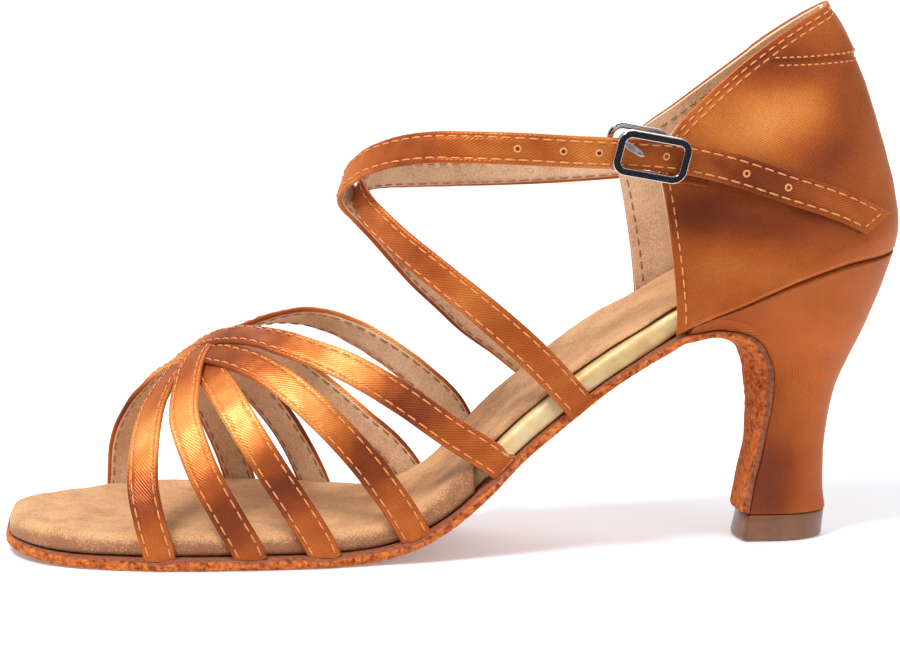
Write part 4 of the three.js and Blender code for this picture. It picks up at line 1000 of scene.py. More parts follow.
@dataclass
class Footbed:
    """Gold-wrapped board and the padded sock on it."""

    step: float = 1.6
    sock_rim: tuple[tuple[float, float, float, float], ...] = (
        (0, 0.1, 0.5, 0), (0.12, 0.62, 0.92, 0.15), (0.5, 0.9, 1, 0.85), (1.3, 1, 1.3, 1))
    board_rim: tuple[tuple[float, float, float, float], ...] = (
        (0, 0.35, 0, 0.15), (0.25, 0.78, 0.25, 0), (1, 1, 1, 0))
    sock_middle: tuple[float, ...] = (-0.6, -0.25, 0, 0.25, 0.6)
    close_by: tuple[float, ...] = (0.06, 0.15, 0.3, 0.55, 0.9, 1.3, 1.9, 2.6, 3.5, 4.4, 5.4, 6.4)
    sock_dip: float = 0.5
    toe_roll: float = 7.5

    def places(self, start: float) -> Array:
        """Returns x of the sections, closer together where the form turns fast."""
        x = np.arange(start, LAST.board_back, self.step)
        quick = np.concatenate([start + np.array(self.close_by), np.linspace(*SIZES.x_at([0.49, 0.454]), 22),
                                LAST.board_back - np.array([0.8, 0.4, 0.15, 0])])
        x = np.unique(np.concatenate([x, quick]))
        return x[np.concatenate([[True], np.diff(x) > 0.04])]

    @staticmethod
    def wrap(row: Columns, widths: tuple[Array, Array], roll: Array, rim: Sequence, levels: tuple[Array, ...],
             middle: Sequence[float], dip: float) -> Array:
        """Returns closed sections of a pad with a rolled rim.

        Args:
            row: columns of the board's line.
            widths: distances of both edges from the middle line.
            roll: how far the rim reaches in.
            rim: inset and height of the rim's upper points, then of its lower ones.
            levels: heights of the edge, the top, the rim's underside and the middle's.
            middle: places across between both rims.
            dip: how far the middle sags.
        """
        low, high, shelf, floor = levels
        wide = sum(widths)
        tops, unders = [], []
        for side in (-1, 1):
            for inset, top, under, bottom in rim[::-side]:
                above, below = ((side * (1 - 2 * share * roll / wide))[:, None] for share in (inset, under))
                tops.append(LAST.across(row, above, mix(low, high, top)[:, None], *widths))
                unders.append(LAST.across(row, below, mix(low, shelf, bottom)[:, None], *widths))
            for q in middle if side < 0 else ():
                level = np.full((len(wide), 1), q)
                tops.append(LAST.across(row, level, (high - dip * (1 - abs(q)))[:, None], *widths))
                unders.append(LAST.across(row, level, floor[:, None], *widths))
        return rounded(np.concatenate(tops + unders[::-1], axis=1))

    def build_board(self) -> Object:
        """Makes the board, whose gold edge shows at both sides of the waist."""
        x = self.places(LAST.board_toe)
        row, pad = LAST.board_line.at_x(x), LAST.pad_at(x)
        t = clamp01((x - LAST.board_toe) / 22)
        toe = np.minimum(1, 0.3 + 0.7 * np.sqrt(1 - (1 - t) ** 2))
        outer = pad["board_outer"] * toe
        inner = mix(pad["board_inner"], pad["board_inner"] * toe, 0.6)
        low = np.full_like(x, SIZES.gap)
        high = np.maximum(low + 0.8, pad["board_height"])
        roll = np.minimum(1.6, (outer + inner) * 0.2)
        loops = self.wrap(row, (outer, inner), roll, self.board_rim, (low, high, high, low), (0.0,), 0)
        skin = Skin("board_gold", Cloth.GOLD)
        skin.tube(loops)
        return skin.make("insole", slot="gold_board")

    def build_sock(self) -> Object:
        """Makes the padded sock with its rolled rim."""
        x = self.places(LAST.pad_toe)
        row, pad = LAST.board_line.at_x(x), LAST.pad_at(x)
        widths = pad["sock_outer"], pad["sock_inner"]
        shelf = pad["board_height"] + SIZES.gap
        low = mix(shelf, SIZES.gap, pad["wrapped"])
        toe = clamp01((x - LAST.pad_toe) / self.toe_roll)
        high = mix(low + 0.25 * (pad["height"] - low), pad["height"], np.sqrt(1 - (1 - toe) ** 2))
        shelf = np.minimum(shelf, mix(low, high, 0.5))
        roll = SIZES.rim_roll * np.minimum(1, sum(widths) / 14)
        levels = low, high, shelf, shelf
        loops = self.wrap(row, widths, roll, self.sock_rim, levels, self.sock_middle, self.sock_dip)
        dent = 0.16 * ripple(loops, 11, 21) + 0.05 * ripple(loops, 3.5, 22)
        loops[..., 2] += dent * clamp01((loops[..., 2] - row["z"][:, None] - 2) / 3)
        skin = Skin("sock_pad", Cloth.SOCK)
        top = (row["z"] + high)[:, None]
        # painted shade: the sock darker down the sides of its rolled rim than on its top
        skin.tube(loops, mark=-0.75 * clamp01((top - loops[..., 2] - 1.2) / 1.6))
        made = skin.make("sock", slot="sock_cloth")
        return made


@dataclass
class Heel:
    """Satin-covered flared heel and its moulded tip."""

    sections: int = 90
    tuck_from: float = 0.975
    tuck_span: float = 0.025
    tuck: float = 0.95
    # painted shade on the heel's satin, low towards its front, and a faint painted shade over all of it
    shade: tuple[float, ...] = (-0.8, -5, 8, 15, 15)     # size, then middle and reach along x and z
    base_painted_light: float = -0.08
    unevenness: float = 0.08
    tip_height: float = 7
    tip_length: float = 20.5
    tip_width: float = 19
    tip_lean: float = 1.1
    tip_bow: float = 0.09
    tip_profile: tuple[tuple[float, float], ...] = (
        (0.004, -0.35), (0.02, -0.05), (0.06, 0.25), (0.12, 0.35), (0.3, 0.22), (0.6, 0.1), (0.93, 0.02),
        (0.975, -0.08), (1.0, -0.35))

    @staticmethod
    def ring(front: Array, back: Array, corner: float, half: float, bow: float, normal: Array,
             bend: Array | None = None) -> Array:
        """Returns one closed section, from the breast round the outer side and back.

        Args:
            front: x and z of the breast's edge.
            back: x and z of the back.
            corner: half the breast.
            half: half the widest place.
            bow: bulge of the breast.
            normal: x and z of the way in from the breast.
            bend: x and z of a line that the section follows, or None.
        """
        q = np.linspace(0.06, 1, 9)
        a = np.concatenate([np.linspace(0.02, 0.9, 34), [0.93, 0.955, 0.975, 0.988, 0.997]])
        out = bow * (1 - q * q)
        x = mix(front[0], back[0], a)
        z = mix(front[1], back[1], a)
        if bend is not None:
            z = z + np.interp(x, bend[0], bend[1])
        xs = np.concatenate([front[0] - normal[0] * out, x])
        zs = np.concatenate([front[1] - normal[1] * out, z])
        ys = np.concatenate([corner * q, LAST.half_at(a, corner, half)])
        left, right = (np.column_stack([xs, way * ys, zs]) for way in (-1, 1))
        return np.vstack([left, right[::-1]])

    def build(self) -> Object:
        """Makes the covered block."""
        s, line = SIZES, LAST.sole_line
        tail = line.places > line.end * 0.6
        tx, tz = line.values["x"][tail], line.values["z"][tail]
        rings = []
        for top in np.linspace(0, 1, self.sections):
            row = HEEL.at(top * 10)
            x, z = float(s.x_at(row["along"])), float(row["up"]) * s.seat_height
            near = int(np.argmin(np.hypot(tx - x, tz - z)))
            nx, nz = line.values["nx"][tail][near], line.values["nz"][tail][near]
            front = np.array([x + nx * s.gap, z + nz * s.gap])
            back = np.array([float(s.x_at(row["back_along"])), float(row["back_up"]) * s.seat_height])
            if top == 0:
                front[1] = back[1] = self.tip_height + s.gap / 2
            bend = None
            blend = float(clamp01((top - 0.6) / 0.4)) ** 2
            if blend > 0:
                xs = np.linspace(front[0], back[0], 60)
                chord = mix(front[1], back[1], (xs - front[0]) / (back[0] - front[0]))
                bend = np.stack([xs, blend * (LAST.board_line.at_x(xs)["z"] - s.gap / 2 - chord)])
            corner, half = (float(row[k]) * s.seat_width for k in ("corner", "half"))
            bow = float(row["bow"]) * s.flap_thickness
            rings.append(self.ring(front, back, corner, half, bow, np.array([nx, nz]), bend))
        loops = np.array(rings)
        steps = np.linalg.norm(np.diff(np.concatenate([loops, loops[:, :1]], 1), axis=1), axis=2)
        around = np.concatenate([np.zeros((len(loops), 1)), np.cumsum(steps, axis=1)], axis=1)
        height = np.concatenate([loops[..., 2], loops[:, :1, 2]], axis=1)
        inset = clamp01((np.linspace(0, 1, self.sections) - self.tuck_from) / self.tuck_span)[:, None]
        loops[..., 1] -= np.sign(loops[..., 1]) * inset * self.tuck
        # painted shade, kept as the satin's painted light
        size, *spot = self.shade
        painted_light = size * bump(loops[..., 0], *spot[:2]) * bump(loops[..., 2], *spot[2:]) + self.base_painted_light
        skin = Skin("heel_satin", Cloth.HEEL)
        loops[..., 1] += self.unevenness * ripple(loops, 17, 31) * np.sign(loops[..., 1])
        skin.tube(loops, np.stack([around, height], -1), mark=painted_light)
        return skin.make("heel", slot="satin")

    def build_tip(self) -> Object:
        """Makes the tip with its worn lower edge."""
        rings = []
        for up, grow in self.tip_profile:
            z = up * (self.tip_height - SIZES.gap / 2)
            lean, reach = up * self.tip_lean, self.tip_length / 2
            front, back = np.array([-reach - grow + lean, z]), np.array([reach + grow + lean, z])
            half = self.tip_width / 2 + grow
            rings.append(self.ring(front, back, half - SIZES.gap, half, self.tip_bow * self.tip_length,
                                   np.array([1.0, 0.0])))
        skin = Skin("heel_tip", Cloth.TIP)
        skin.tube(np.array(rings))
        return skin.make("top_piece", slot="tip")


@dataclass
class Quarter:
    """Heel part: satin outside, suede inside, with a back tab, seams and stitch rows."""

    turns: int = 241
    rises: int = 110
    tab_height: float = 0.905
    tab_turn: float = 0.5
    seam_top: float = 0.94
    edge_inset: float = 2.3
    lining_row: float = 2.4
    tab_rows: tuple[float, float] = (-1.0, 1.3)
    groove: float = 0.22
    soft_waves: tuple[tuple[float, float, int], ...] = ((0.28, 26, 41), (0.05, 8, 42))
    collar_rows: tuple[float, float] = (1.3, 2.9)
    edge: tuple[tuple[float, float], ...] = (
        (0.0, 0.0), (0.06, 0.28), (0.22, 0.42), (0.42, 0.34), (0.52, 0.05), (0.58, 0.08), (0.72, 0.2),
        (0.9, 0.14), (1.0, 0.0))
    edge_kinds: tuple[int, ...] = (0, 0, 0, 0, 2, 2, 2, 1)
    # painted highlight and shade on the quarter's satin: size, then middle along x and z, then reach along x
    # and z
    painted_light_spots: tuple[tuple[float, ...], ...] = (
        (0.75, -3, 111, 15, 8), (0.4, -20, 104, 11, 6), (-0.75, -6, 123, 15, 6), (-0.6, 8, 101, 9, 9),
        (-0.45, 13, 113, 6, 9), (-0.75, -25, 88, 15, 6), (-0.55, -2, 84, 20, 7), (0.3, -16, 73, 14, 6))

    def __post_init__(self) -> None:
        """Lays out the wall's grid."""
        self.turn = np.linspace(-1, 1, self.turns)
        self.rise = np.linspace(0, 1, self.rises)
        top = LAST.quarter_point(self.turn, 1)[:, 2]
        bottom = LAST.quarter_point(self.turn, 0)[:, 2]
        seam = (self.tab_height * SIZES.collar_height - bottom) / (top - bottom)
        self.seam = np.minimum(self.seam_top, seam)
        grid_turn, grid_rise = np.meshgrid(self.turn, self.rise, indexing="ij")
        self.normal = LAST.quarter_normal(grid_turn, grid_rise)
        face = LAST.quarter_point(grid_turn, grid_rise)
        on_tab = clamp01((self.tab_turn - np.abs(grid_turn)) / 0.012)
        above = clamp01((grid_rise - self.seam[:, None]) / 0.012)
        raised = SIZES.tab_rise * on_tab * above
        groove = -self.groove * on_tab * bump(grid_rise - self.seam[:, None], -0.012, 0.010)
        soft = sum(size * ripple(face, period, seed) for size, period, seed in self.soft_waves)
        room = clamp01(grid_rise / 0.15) * clamp01((1 - grid_rise) / 0.12)
        room = room * clamp01((1 - np.abs(grid_turn)) / 0.08)
        pleat = self.pleats(grid_turn, grid_rise)
        self.outer = face + self.normal * (raised + groove + soft * room + pleat)[..., None]
        self.inner = face - self.normal * (SIZES.quarter_wall - 0.25)
        self.face = face

    @staticmethod
    def pleats(turn: Array, rise: Array) -> Array:
        """Returns the small folds where the satin is drawn under at the seat."""
        fan = 0.22 * np.sin(np.abs(turn) * 150) * bump(np.abs(turn), 0.93, 0.07) * clamp01(1 - rise / 0.12)
        tuck = -0.9 * clamp01(1 - rise / 0.024) ** 2 - 0.25 * bump(rise, 0.968, 0.008)
        return fan + tuck

    def painted_light(self, points: Array) -> Array:
        """Returns the satin's painted light: a painted highlight in one hollow, with painted plum-dark shade
        on the folds round it.
        """
        x, z = points[..., 0], points[..., 2]
        return sum(size * bump(x, px, wx) * bump(z, pz, wz) for size, px, pz, wx, wz in self.painted_light_spots)

    def build(self) -> Object:
        """Makes the wall with its turned edges."""
        lengths = arc_lengths(self.face[:, self.rises // 2])
        uv = np.stack(np.broadcast_arrays(lengths[:, None], self.face[..., 2]), -1)
        skin = Skin("quarter_satin", Cloth.QUARTER, Cloth.LINING, Cloth.PIPING)
        skin.grid(self.outer, uv, 0, mark=self.painted_light(self.outer))
        skin.grid(self.inner[::-1], uv[::-1], 1)
        over = unit(self.outer[:, -1] - self.outer[:, -2])
        self.turned_edge(skin, np.s_[:, -1], over, uv)
        for side, near in ((0, 1), (-1, -2)):
            self.turned_edge(skin, np.s_[side], unit(self.outer[side] - self.outer[near]), uv)
        self.turned_edge(skin, np.s_[:, 0], -over * 0.2, uv)
        return skin.make("quarter", slot="satin")

    def turned_edge(self, skin: Skin, where: tuple | int, ahead: Array, uv: Array) -> None:
        """Adds the folded satin edge, then the paler edge of the lining.

        Args:
            skin: the piece that takes them.
            where: the line of the wall's grid that they follow.
            ahead: the direction out of the wall there.
            uv: pattern coordinates of the grid.
        """
        rows = [mix(self.outer[where], self.inner[where], t) + ahead * out for t, out in self.edge]
        pattern = np.stack([uv[where] + [0, 0.5 * k] for k in range(len(self.edge))], axis=1)
        skin.grid(np.stack(rows, axis=1), pattern, np.array(self.edge_kinds))

    def row_below_rim(self, depth: float, turns: Array, surface: Array,
                      ceiling: Array | None = None) -> tuple[Array, Array]:
        """Returns a path on the wall at a distance below the rim, and its normals.

        Args:
            depth: distance below the rim.
            turns: which part of the rim to follow.
            surface: the grid that carries the row.
            ceiling: rise to measure from at each grid column, the rim if left out.
        """
        path, normals = [], []
        for turn in turns:
            i = int(np.argmin(np.abs(self.turn - turn)))
            lengths = arc_lengths(surface[i])
            end = lengths[-1] if ceiling is None else np.interp(ceiling[i], self.rise, lengths)
            path.append(read(end - depth, lengths, surface[i]))
            normals.append(read(end - depth, lengths, self.normal[i]))
        return np.array(path), np.array(normals)

    def build_stitches(self) -> Object:
        """Sews the collar, the tab and the front edges."""
        skin = Skin("quarter_stitches", Cloth.THREAD, Cloth.BOBBIN)
        seam = Seam(pitch=3.1, shown=2.25)
        small = Seam(pitch=1.9, shown=1.3, thread=0.38)
        step = 2 / (self.turns - 1)
        for side in (-1, 1):
            for depth in self.collar_rows:
                turns = np.arange(0.02, 0.975, step) * side
                seam.sew(skin, *self.row_below_rim(depth, turns, self.outer))
            turns = np.arange(0.0, 0.97, step) * side
            path, normals = self.row_below_rim(self.lining_row, turns, self.inner)
            seam.sew(skin, path, -normals, kind=1)
            self.front_row(skin, seam, side)
        turns = np.arange(-self.tab_turn + 0.02, self.tab_turn - 0.02, step)
        for depth in self.tab_rows:
            small.sew(skin, *self.row_below_rim(depth, turns, self.outer, self.seam))
        return skin.make(slot="satin")

    def front_row(self, skin: Skin, seam: Seam, side: int) -> None:
        """Sews one row behind a front edge."""
        order = np.s_[::-side]
        for grid, sign, kind in ((self.outer, 1, 0), (self.inner, -1, 1)):
            path, normals = [], []
            for j in range(3, self.rises - 4):
                row = grid[order, j][:40]
                lengths = arc_lengths(row)
                path.append(read(self.edge_inset, lengths, row))
                normals.append(read(self.edge_inset, lengths, self.normal[order, j][:40]))
            seam.sew(skin, np.array(path), sign * np.array(normals), kind=kind)


@dataclass
class Strap:
    """One satin strap with folded edges, a suede lining and two rows of stitches."""

    name: str
    points: Array
    normals: Array
    width: float = SIZES.strap_width
    thickness: float = SIZES.strap_thickness
    inset: float = 1.3
    seed: int = 1
    tail_slant: float = 0.0
    end_row: bool = False
    foot_depth: float = 0.4
    step: float = 0.8
    slant_reach: float = 14
    end_inset: float = 2.2
    waves: tuple[tuple[float, float, int], ...] = ((0.13, 9, 0), (0.05, 3.2, 50))
    # painted highlight and shade bands: size, then place and reach as shares of the length from the nearer
    # end
    painted_light_bands: tuple[tuple[float, float, float], ...] = ()

    def __post_init__(self) -> None:
        """Spaces the sections evenly and squares their frames."""
        lengths = arc_lengths(self.points)
        self.length = float(lengths[-1])
        self.places = places = np.linspace(0, self.length, int(self.length / self.step))
        facing = read(places, lengths, self.normals)
        self.at = read(places, lengths, self.points)
        self.run = unit(np.gradient(self.at, axis=0))
        self.out = unit(facing - self.run * np.sum(facing * self.run, axis=1, keepdims=True))
        self.side = np.cross(self.out, self.run)

    def section(self) -> tuple[Array, Array, Array]:
        """Returns the section's way across, its height and its finish, as a closed loop."""
        half, thick = self.width / 2, self.thickness
        fold = 0.62
        stitch = half - self.inset
        top_q = np.array([-half + fold, -stitch - 0.4, -stitch, -stitch + 0.4, -stitch + 1.1, -0.6,
                          0.6, stitch - 1.1, stitch - 0.4, stitch, stitch + 0.4, half - fold])
        top_h = thick / 2 + 0.10 * (1 - (top_q / half) ** 2)
        top_h[[2, 9]] -= 0.17
        turn = np.radians([60, 25, -10, -45, -75])
        arc_q, arc_h = half - fold + fold * np.cos(turn), thick / 2 - fold + fold * np.sin(turn)
        low_q = half - np.array([0.75, 1.0, 2.6])
        low_h = -thick / 2 + np.array([0.24, 0.0, 0.0])
        right_q, right_h = np.concatenate([arc_q, low_q]), np.concatenate([arc_h, low_h])
        q = np.concatenate([top_q, right_q, [0.6, -0.6], -right_q[::-1]])
        h = np.concatenate([top_h, right_h, [-thick / 2, -thick / 2], right_h[::-1]])
        count = len(top_q)
        kinds = np.zeros(len(q), int)
        kinds[count + 5:len(q) - 6] = 1
        return q, h, kinds

    def build(self, *nodes: str) -> Object:
        """Makes the strap."""
        q, h, kinds = self.section()
        near_end = clamp01((self.places - self.length + self.slant_reach) / self.slant_reach)
        slant = self.tail_slant * near_end ** 2
        shift = slant[:, None] * (q / self.width)
        loops = (self.at[:, None] + self.side[:, None] * q[:, None]
                 + self.out[:, None] * h[:, None] + self.run[:, None] * shift[..., None])
        loops = loops + self.out[:, None] * self.wave(loops)
        least = LAST.board_line.at_x(loops[..., 0])["z"] - self.foot_depth
        loops[..., 2] = np.maximum(loops[..., 2], least)
        # painted highlight and shade along the strap: the given bands, else a random ripple of them, and a
        # small ripple over all
        share = np.minimum(self.places, self.length - self.places) / self.length
        painted_light = sum((size * bump(share, place, reach) for size, place, reach in self.painted_light_bands), 0 * share)
        if not self.painted_light_bands:
            painted_light = 0.6 * ripple(self.at, 40, self.seed + 7)
        painted_light = painted_light[:, None] + 0.12 * ripple(loops, 7, self.seed + 9)
        spread = np.concatenate([q, q[:1]])
        steps = np.hypot(np.diff(spread), np.diff(np.concatenate([h, h[:1]])))
        v = np.concatenate([[0], np.cumsum(steps)])
        uv = np.stack(np.broadcast_arrays(self.places[:, None], v[None]), -1)
        skin = Skin(self.name, Cloth.STRAP, Cloth.LINING)
        skin.tube(loops, uv, kinds, mark=painted_light * (kinds == 0))
        return skin.make(*nodes, slot="satin")

    def wave(self, points: Array) -> Array:
        """Returns how far the cloth stands up at points, in soft waves and small ones."""
        parts = (size * ripple(points, period, self.seed + more) for size, period, more in self.waves)
        return sum(parts)[..., None]

    def row(self, q: float, h: float) -> Array:
        """Returns a line along the strap at a place across and a height."""
        points = self.at + self.side * q + self.out * h
        return points + self.out * self.wave(points)

    def sew(self, skin: Skin, seam: Seam, start: float = 1.0) -> None:
        """Adds both rows of stitches on the face and on the lining."""
        stitch = self.width / 2 - self.inset
        ends = []
        for side in (-1, 1):
            lead = self.tail_slant * side * stitch / self.width
            end = int(np.searchsorted(self.places, self.length - 2.0 + lead))
            last = end if self.end_row else None
            face = self.row(side * stitch, self.thickness / 2 + 0.02)
            above = face[:, 2] > LAST.board_line.at_x(face[:, 0])["z"]
            first = float(self.places[int(np.argmax(above))]) + 0.3
            seam.sew(skin, face[:last], self.out[:last], 0, first)
            seam.sew(skin, self.row(side * stitch, -self.thickness / 2), -self.out, 1, start)
            ends.append(read(self.length - self.end_inset + lead, self.places, face))
        if self.end_row:
            path = mix(*ends, np.linspace(0, 1, 12)[:, None])
            Seam(pitch=2.2, shown=1.7).sew(skin, path, np.repeat(self.out[-3:-2], 12, axis=0), 0, 0.2)


@dataclass
class ToeStraps:
    """Five straps that cross in a knot over the toes."""

    footing: float = 1.6
    samples: int = 300
    # around of each toe strap's painted highlight, then of its painted shade
    painted_light_bands: tuple[tuple[float, float], ...] = (
        (0.27, 0.15), (0.26, 0.06), (0.24, 0.10), (0.24, 0.11), (0.28, 0.19))
    tiers: tuple[float, ...] = (0.0, 0.0, -0.15, 0.1, 0.0)

    def strap(self, number: int) -> Strap:
        """Returns one strap, laid on the toe box."""
        knots = np.array(TOE_STRAPS[number]) * [4, 3, 1]
        path = smooth_path(knots, self.samples)
        along, around, lift = path[:, 0] / 4, clamp01(path[:, 1] / 3), path[:, 2]
        normal = LAST.arch_normal(along, around)
        tier = self.tiers[number] * np.sin(math.pi * around)
        high = SIZES.strap_thickness / 2 + lift * SIZES.knot_lift + tier
        foot = clamp01(1 - np.minimum(around, 1 - around) / 0.06)[:, None]
        points = LAST.arch_point(along, around) + normal * high[:, None]
        points = points - normal * foot * SIZES.strap_thickness / 2
        upright = np.stack([np.zeros_like(around), np.where(around < 0.5, -1, 1), np.zeros_like(around)], -1)
        normal = unit(mix(normal, upright, foot))
        first = points[0] + unit(points[0] - points[6]) * self.footing
        last = points[-1] + unit(points[-1] - points[-7]) * self.footing
        lengths = arc_lengths(points) / arc_lengths(points)[-1]
        # places of the strap's painted highlight and painted shade, then a painted shade at the knot
        highlight_place, shade_place = (float(np.interp(place, around, lengths)) for place in self.painted_light_bands[number])
        painted_light = ((0.9, highlight_place, 0.08), (-0.85, shade_place, 0.055), (-0.55, 0.47, 0.07))
        return Strap(f"toe_strap_{number + 1}", np.vstack([first, points, last]),
                     np.vstack([normal[:1], normal, normal[-1:]]), seed=60 + number, painted_light_bands=painted_light)

    def build(self) -> None:
        """Makes the straps and their stitches."""
        skin = Skin("toe_stitches", Cloth.THREAD, Cloth.BOBBIN)
        for number in range(len(TOE_STRAPS)):
            strap = self.strap(number)
            strap.build("vamp_straps")
            strap.sew(skin, Seam(), start=1.2 + 0.3 * number)
        skin.make(slot="satin")


@dataclass
class InstepStraps:
    """Two straps that cross over the instep; one goes on through the buckle."""

    samples: int = 700
    holes_x: tuple[float, ...] = (-70.8, -59.7, -51.2, -34.0, -13.5, -3.3)
    eyelet: tuple[tuple[float, float], ...] = (
        (0.05, -0.12), (0.42, -0.12), (0.5, 0.02), (0.68, 0.12), (0.88, 0.08), (1.0, -0.1))

    @staticmethod
    def leg_normal(points: Array) -> Array:
        """Returns the direction away from the leg."""
        low = np.array([float(SIZES.x_at(0.484)), 2, 0.286 * SIZES.instep_height])
        high = np.array([float(SIZES.x_at(0.351)), 0, 1.14 * SIZES.instep_height])
        axis = high - low
        share = ((points - low) @ axis / (axis @ axis))[..., None]
        return unit(points - low - axis * share)

    @staticmethod
    def leg_width(along: Array, up: Array) -> Array:
        """Returns the width that a strap's place across is a share of."""
        share = clamp01((along - 0.6) / (0.44 - 0.6)) * clamp01((up - 0.6) / (0.85 - 0.6))
        return mix(SIZES.ball_width, 1.512 * SIZES.seat_width, share)

    @staticmethod
    def on_quarter(along: float, up: float, lift: float, side: int) -> tuple[Array, Array]:
        """Returns a strap's middle where it lies on the quarter, and the normal there."""
        turn, rise = LAST.quarter_place(float(SIZES.x_at(along)), up * SIZES.instep_height, side)
        normal = LAST.quarter_normal(turn, rise)
        high = SIZES.gap + SIZES.strap_thickness / 2 + lift
        return LAST.quarter_point(turn, rise) + normal * high, normal

    @classmethod
    def knots(cls, rows: Sequence, ends: Sequence, side: int) -> tuple[Array, Array]:
        """Returns the points and normals that a strap goes through."""
        along, up, across = np.array(rows).T
        y = across * cls.leg_width(along, up)
        points = np.column_stack([SIZES.x_at(along), y, up * SIZES.instep_height])
        tail = [cls.on_quarter(*row, side) for row in ends]
        normals = np.vstack([cls.leg_normal(points), [normal for _, normal in tail]])
        return np.vstack([points, [point for point, _ in tail]]), normals

    @classmethod
    def stations(cls, rows: Sequence, ends: Sequence, side: int, count: int) -> tuple[Array, Array]:
        """Returns points and normals along a strap."""
        points, normals = cls.knots(rows, ends, side)
        return smooth_path(points, count), unit(smooth_path(normals, count))

    def build(self) -> None:
        """Makes both straps, their stitches and the eyelets of the one with the buckle."""
        inner_way = self.stations(STRAP_A, STRAP_A_END, 1, self.samples)
        outer_way = self.stations(STRAP_B, STRAP_B_END, -1, self.samples)
        inner = Strap("instep_strap_inner", *inner_way, seed=80, foot_depth=1.7)
        outer = Strap("instep_strap_outer", *outer_way, seed=90, tail_slant=6.0, end_row=True)
        skin = Skin("instep_stitches", Cloth.THREAD, Cloth.BOBBIN)
        for strap in (inner, outer):
            strap.build("instep_straps")
            strap.sew(skin, Seam())
        skin.make(slot="satin")
        self.eyelets(outer)

    def eyelets(self, strap: Strap) -> None:
        """Makes the punched holes, each a disc of painted shade, with their pressed rims."""
        skin = Skin("strap_eyelets", Cloth.THREAD, Cloth.HOLE_SHADE)
        turn = np.linspace(0, 2 * math.pi, 24, endpoint=False)
        half = len(strap.at) // 2
        for x in self.holes_x:
            i = half + int(np.argmin(np.abs(strap.at[half:, 0] - x)))
            at = strap.at[i] + strap.out[i] * (strap.thickness / 2 + 0.1)
            ways = strap.run[i] * np.cos(turn)[:, None] + strap.side[i] * np.sin(turn)[:, None]
            rows = np.stack([at + ways * r + strap.out[i] * h for r, h in self.eyelet])
            # a dark disc of painted shade where the hole is; no hole is cut
            skin.grid(rows[:3], None, 1, wrap=True)
            skin.grid(rows[2:], None, 0, wrap=True)
        skin.make(slot="satin")


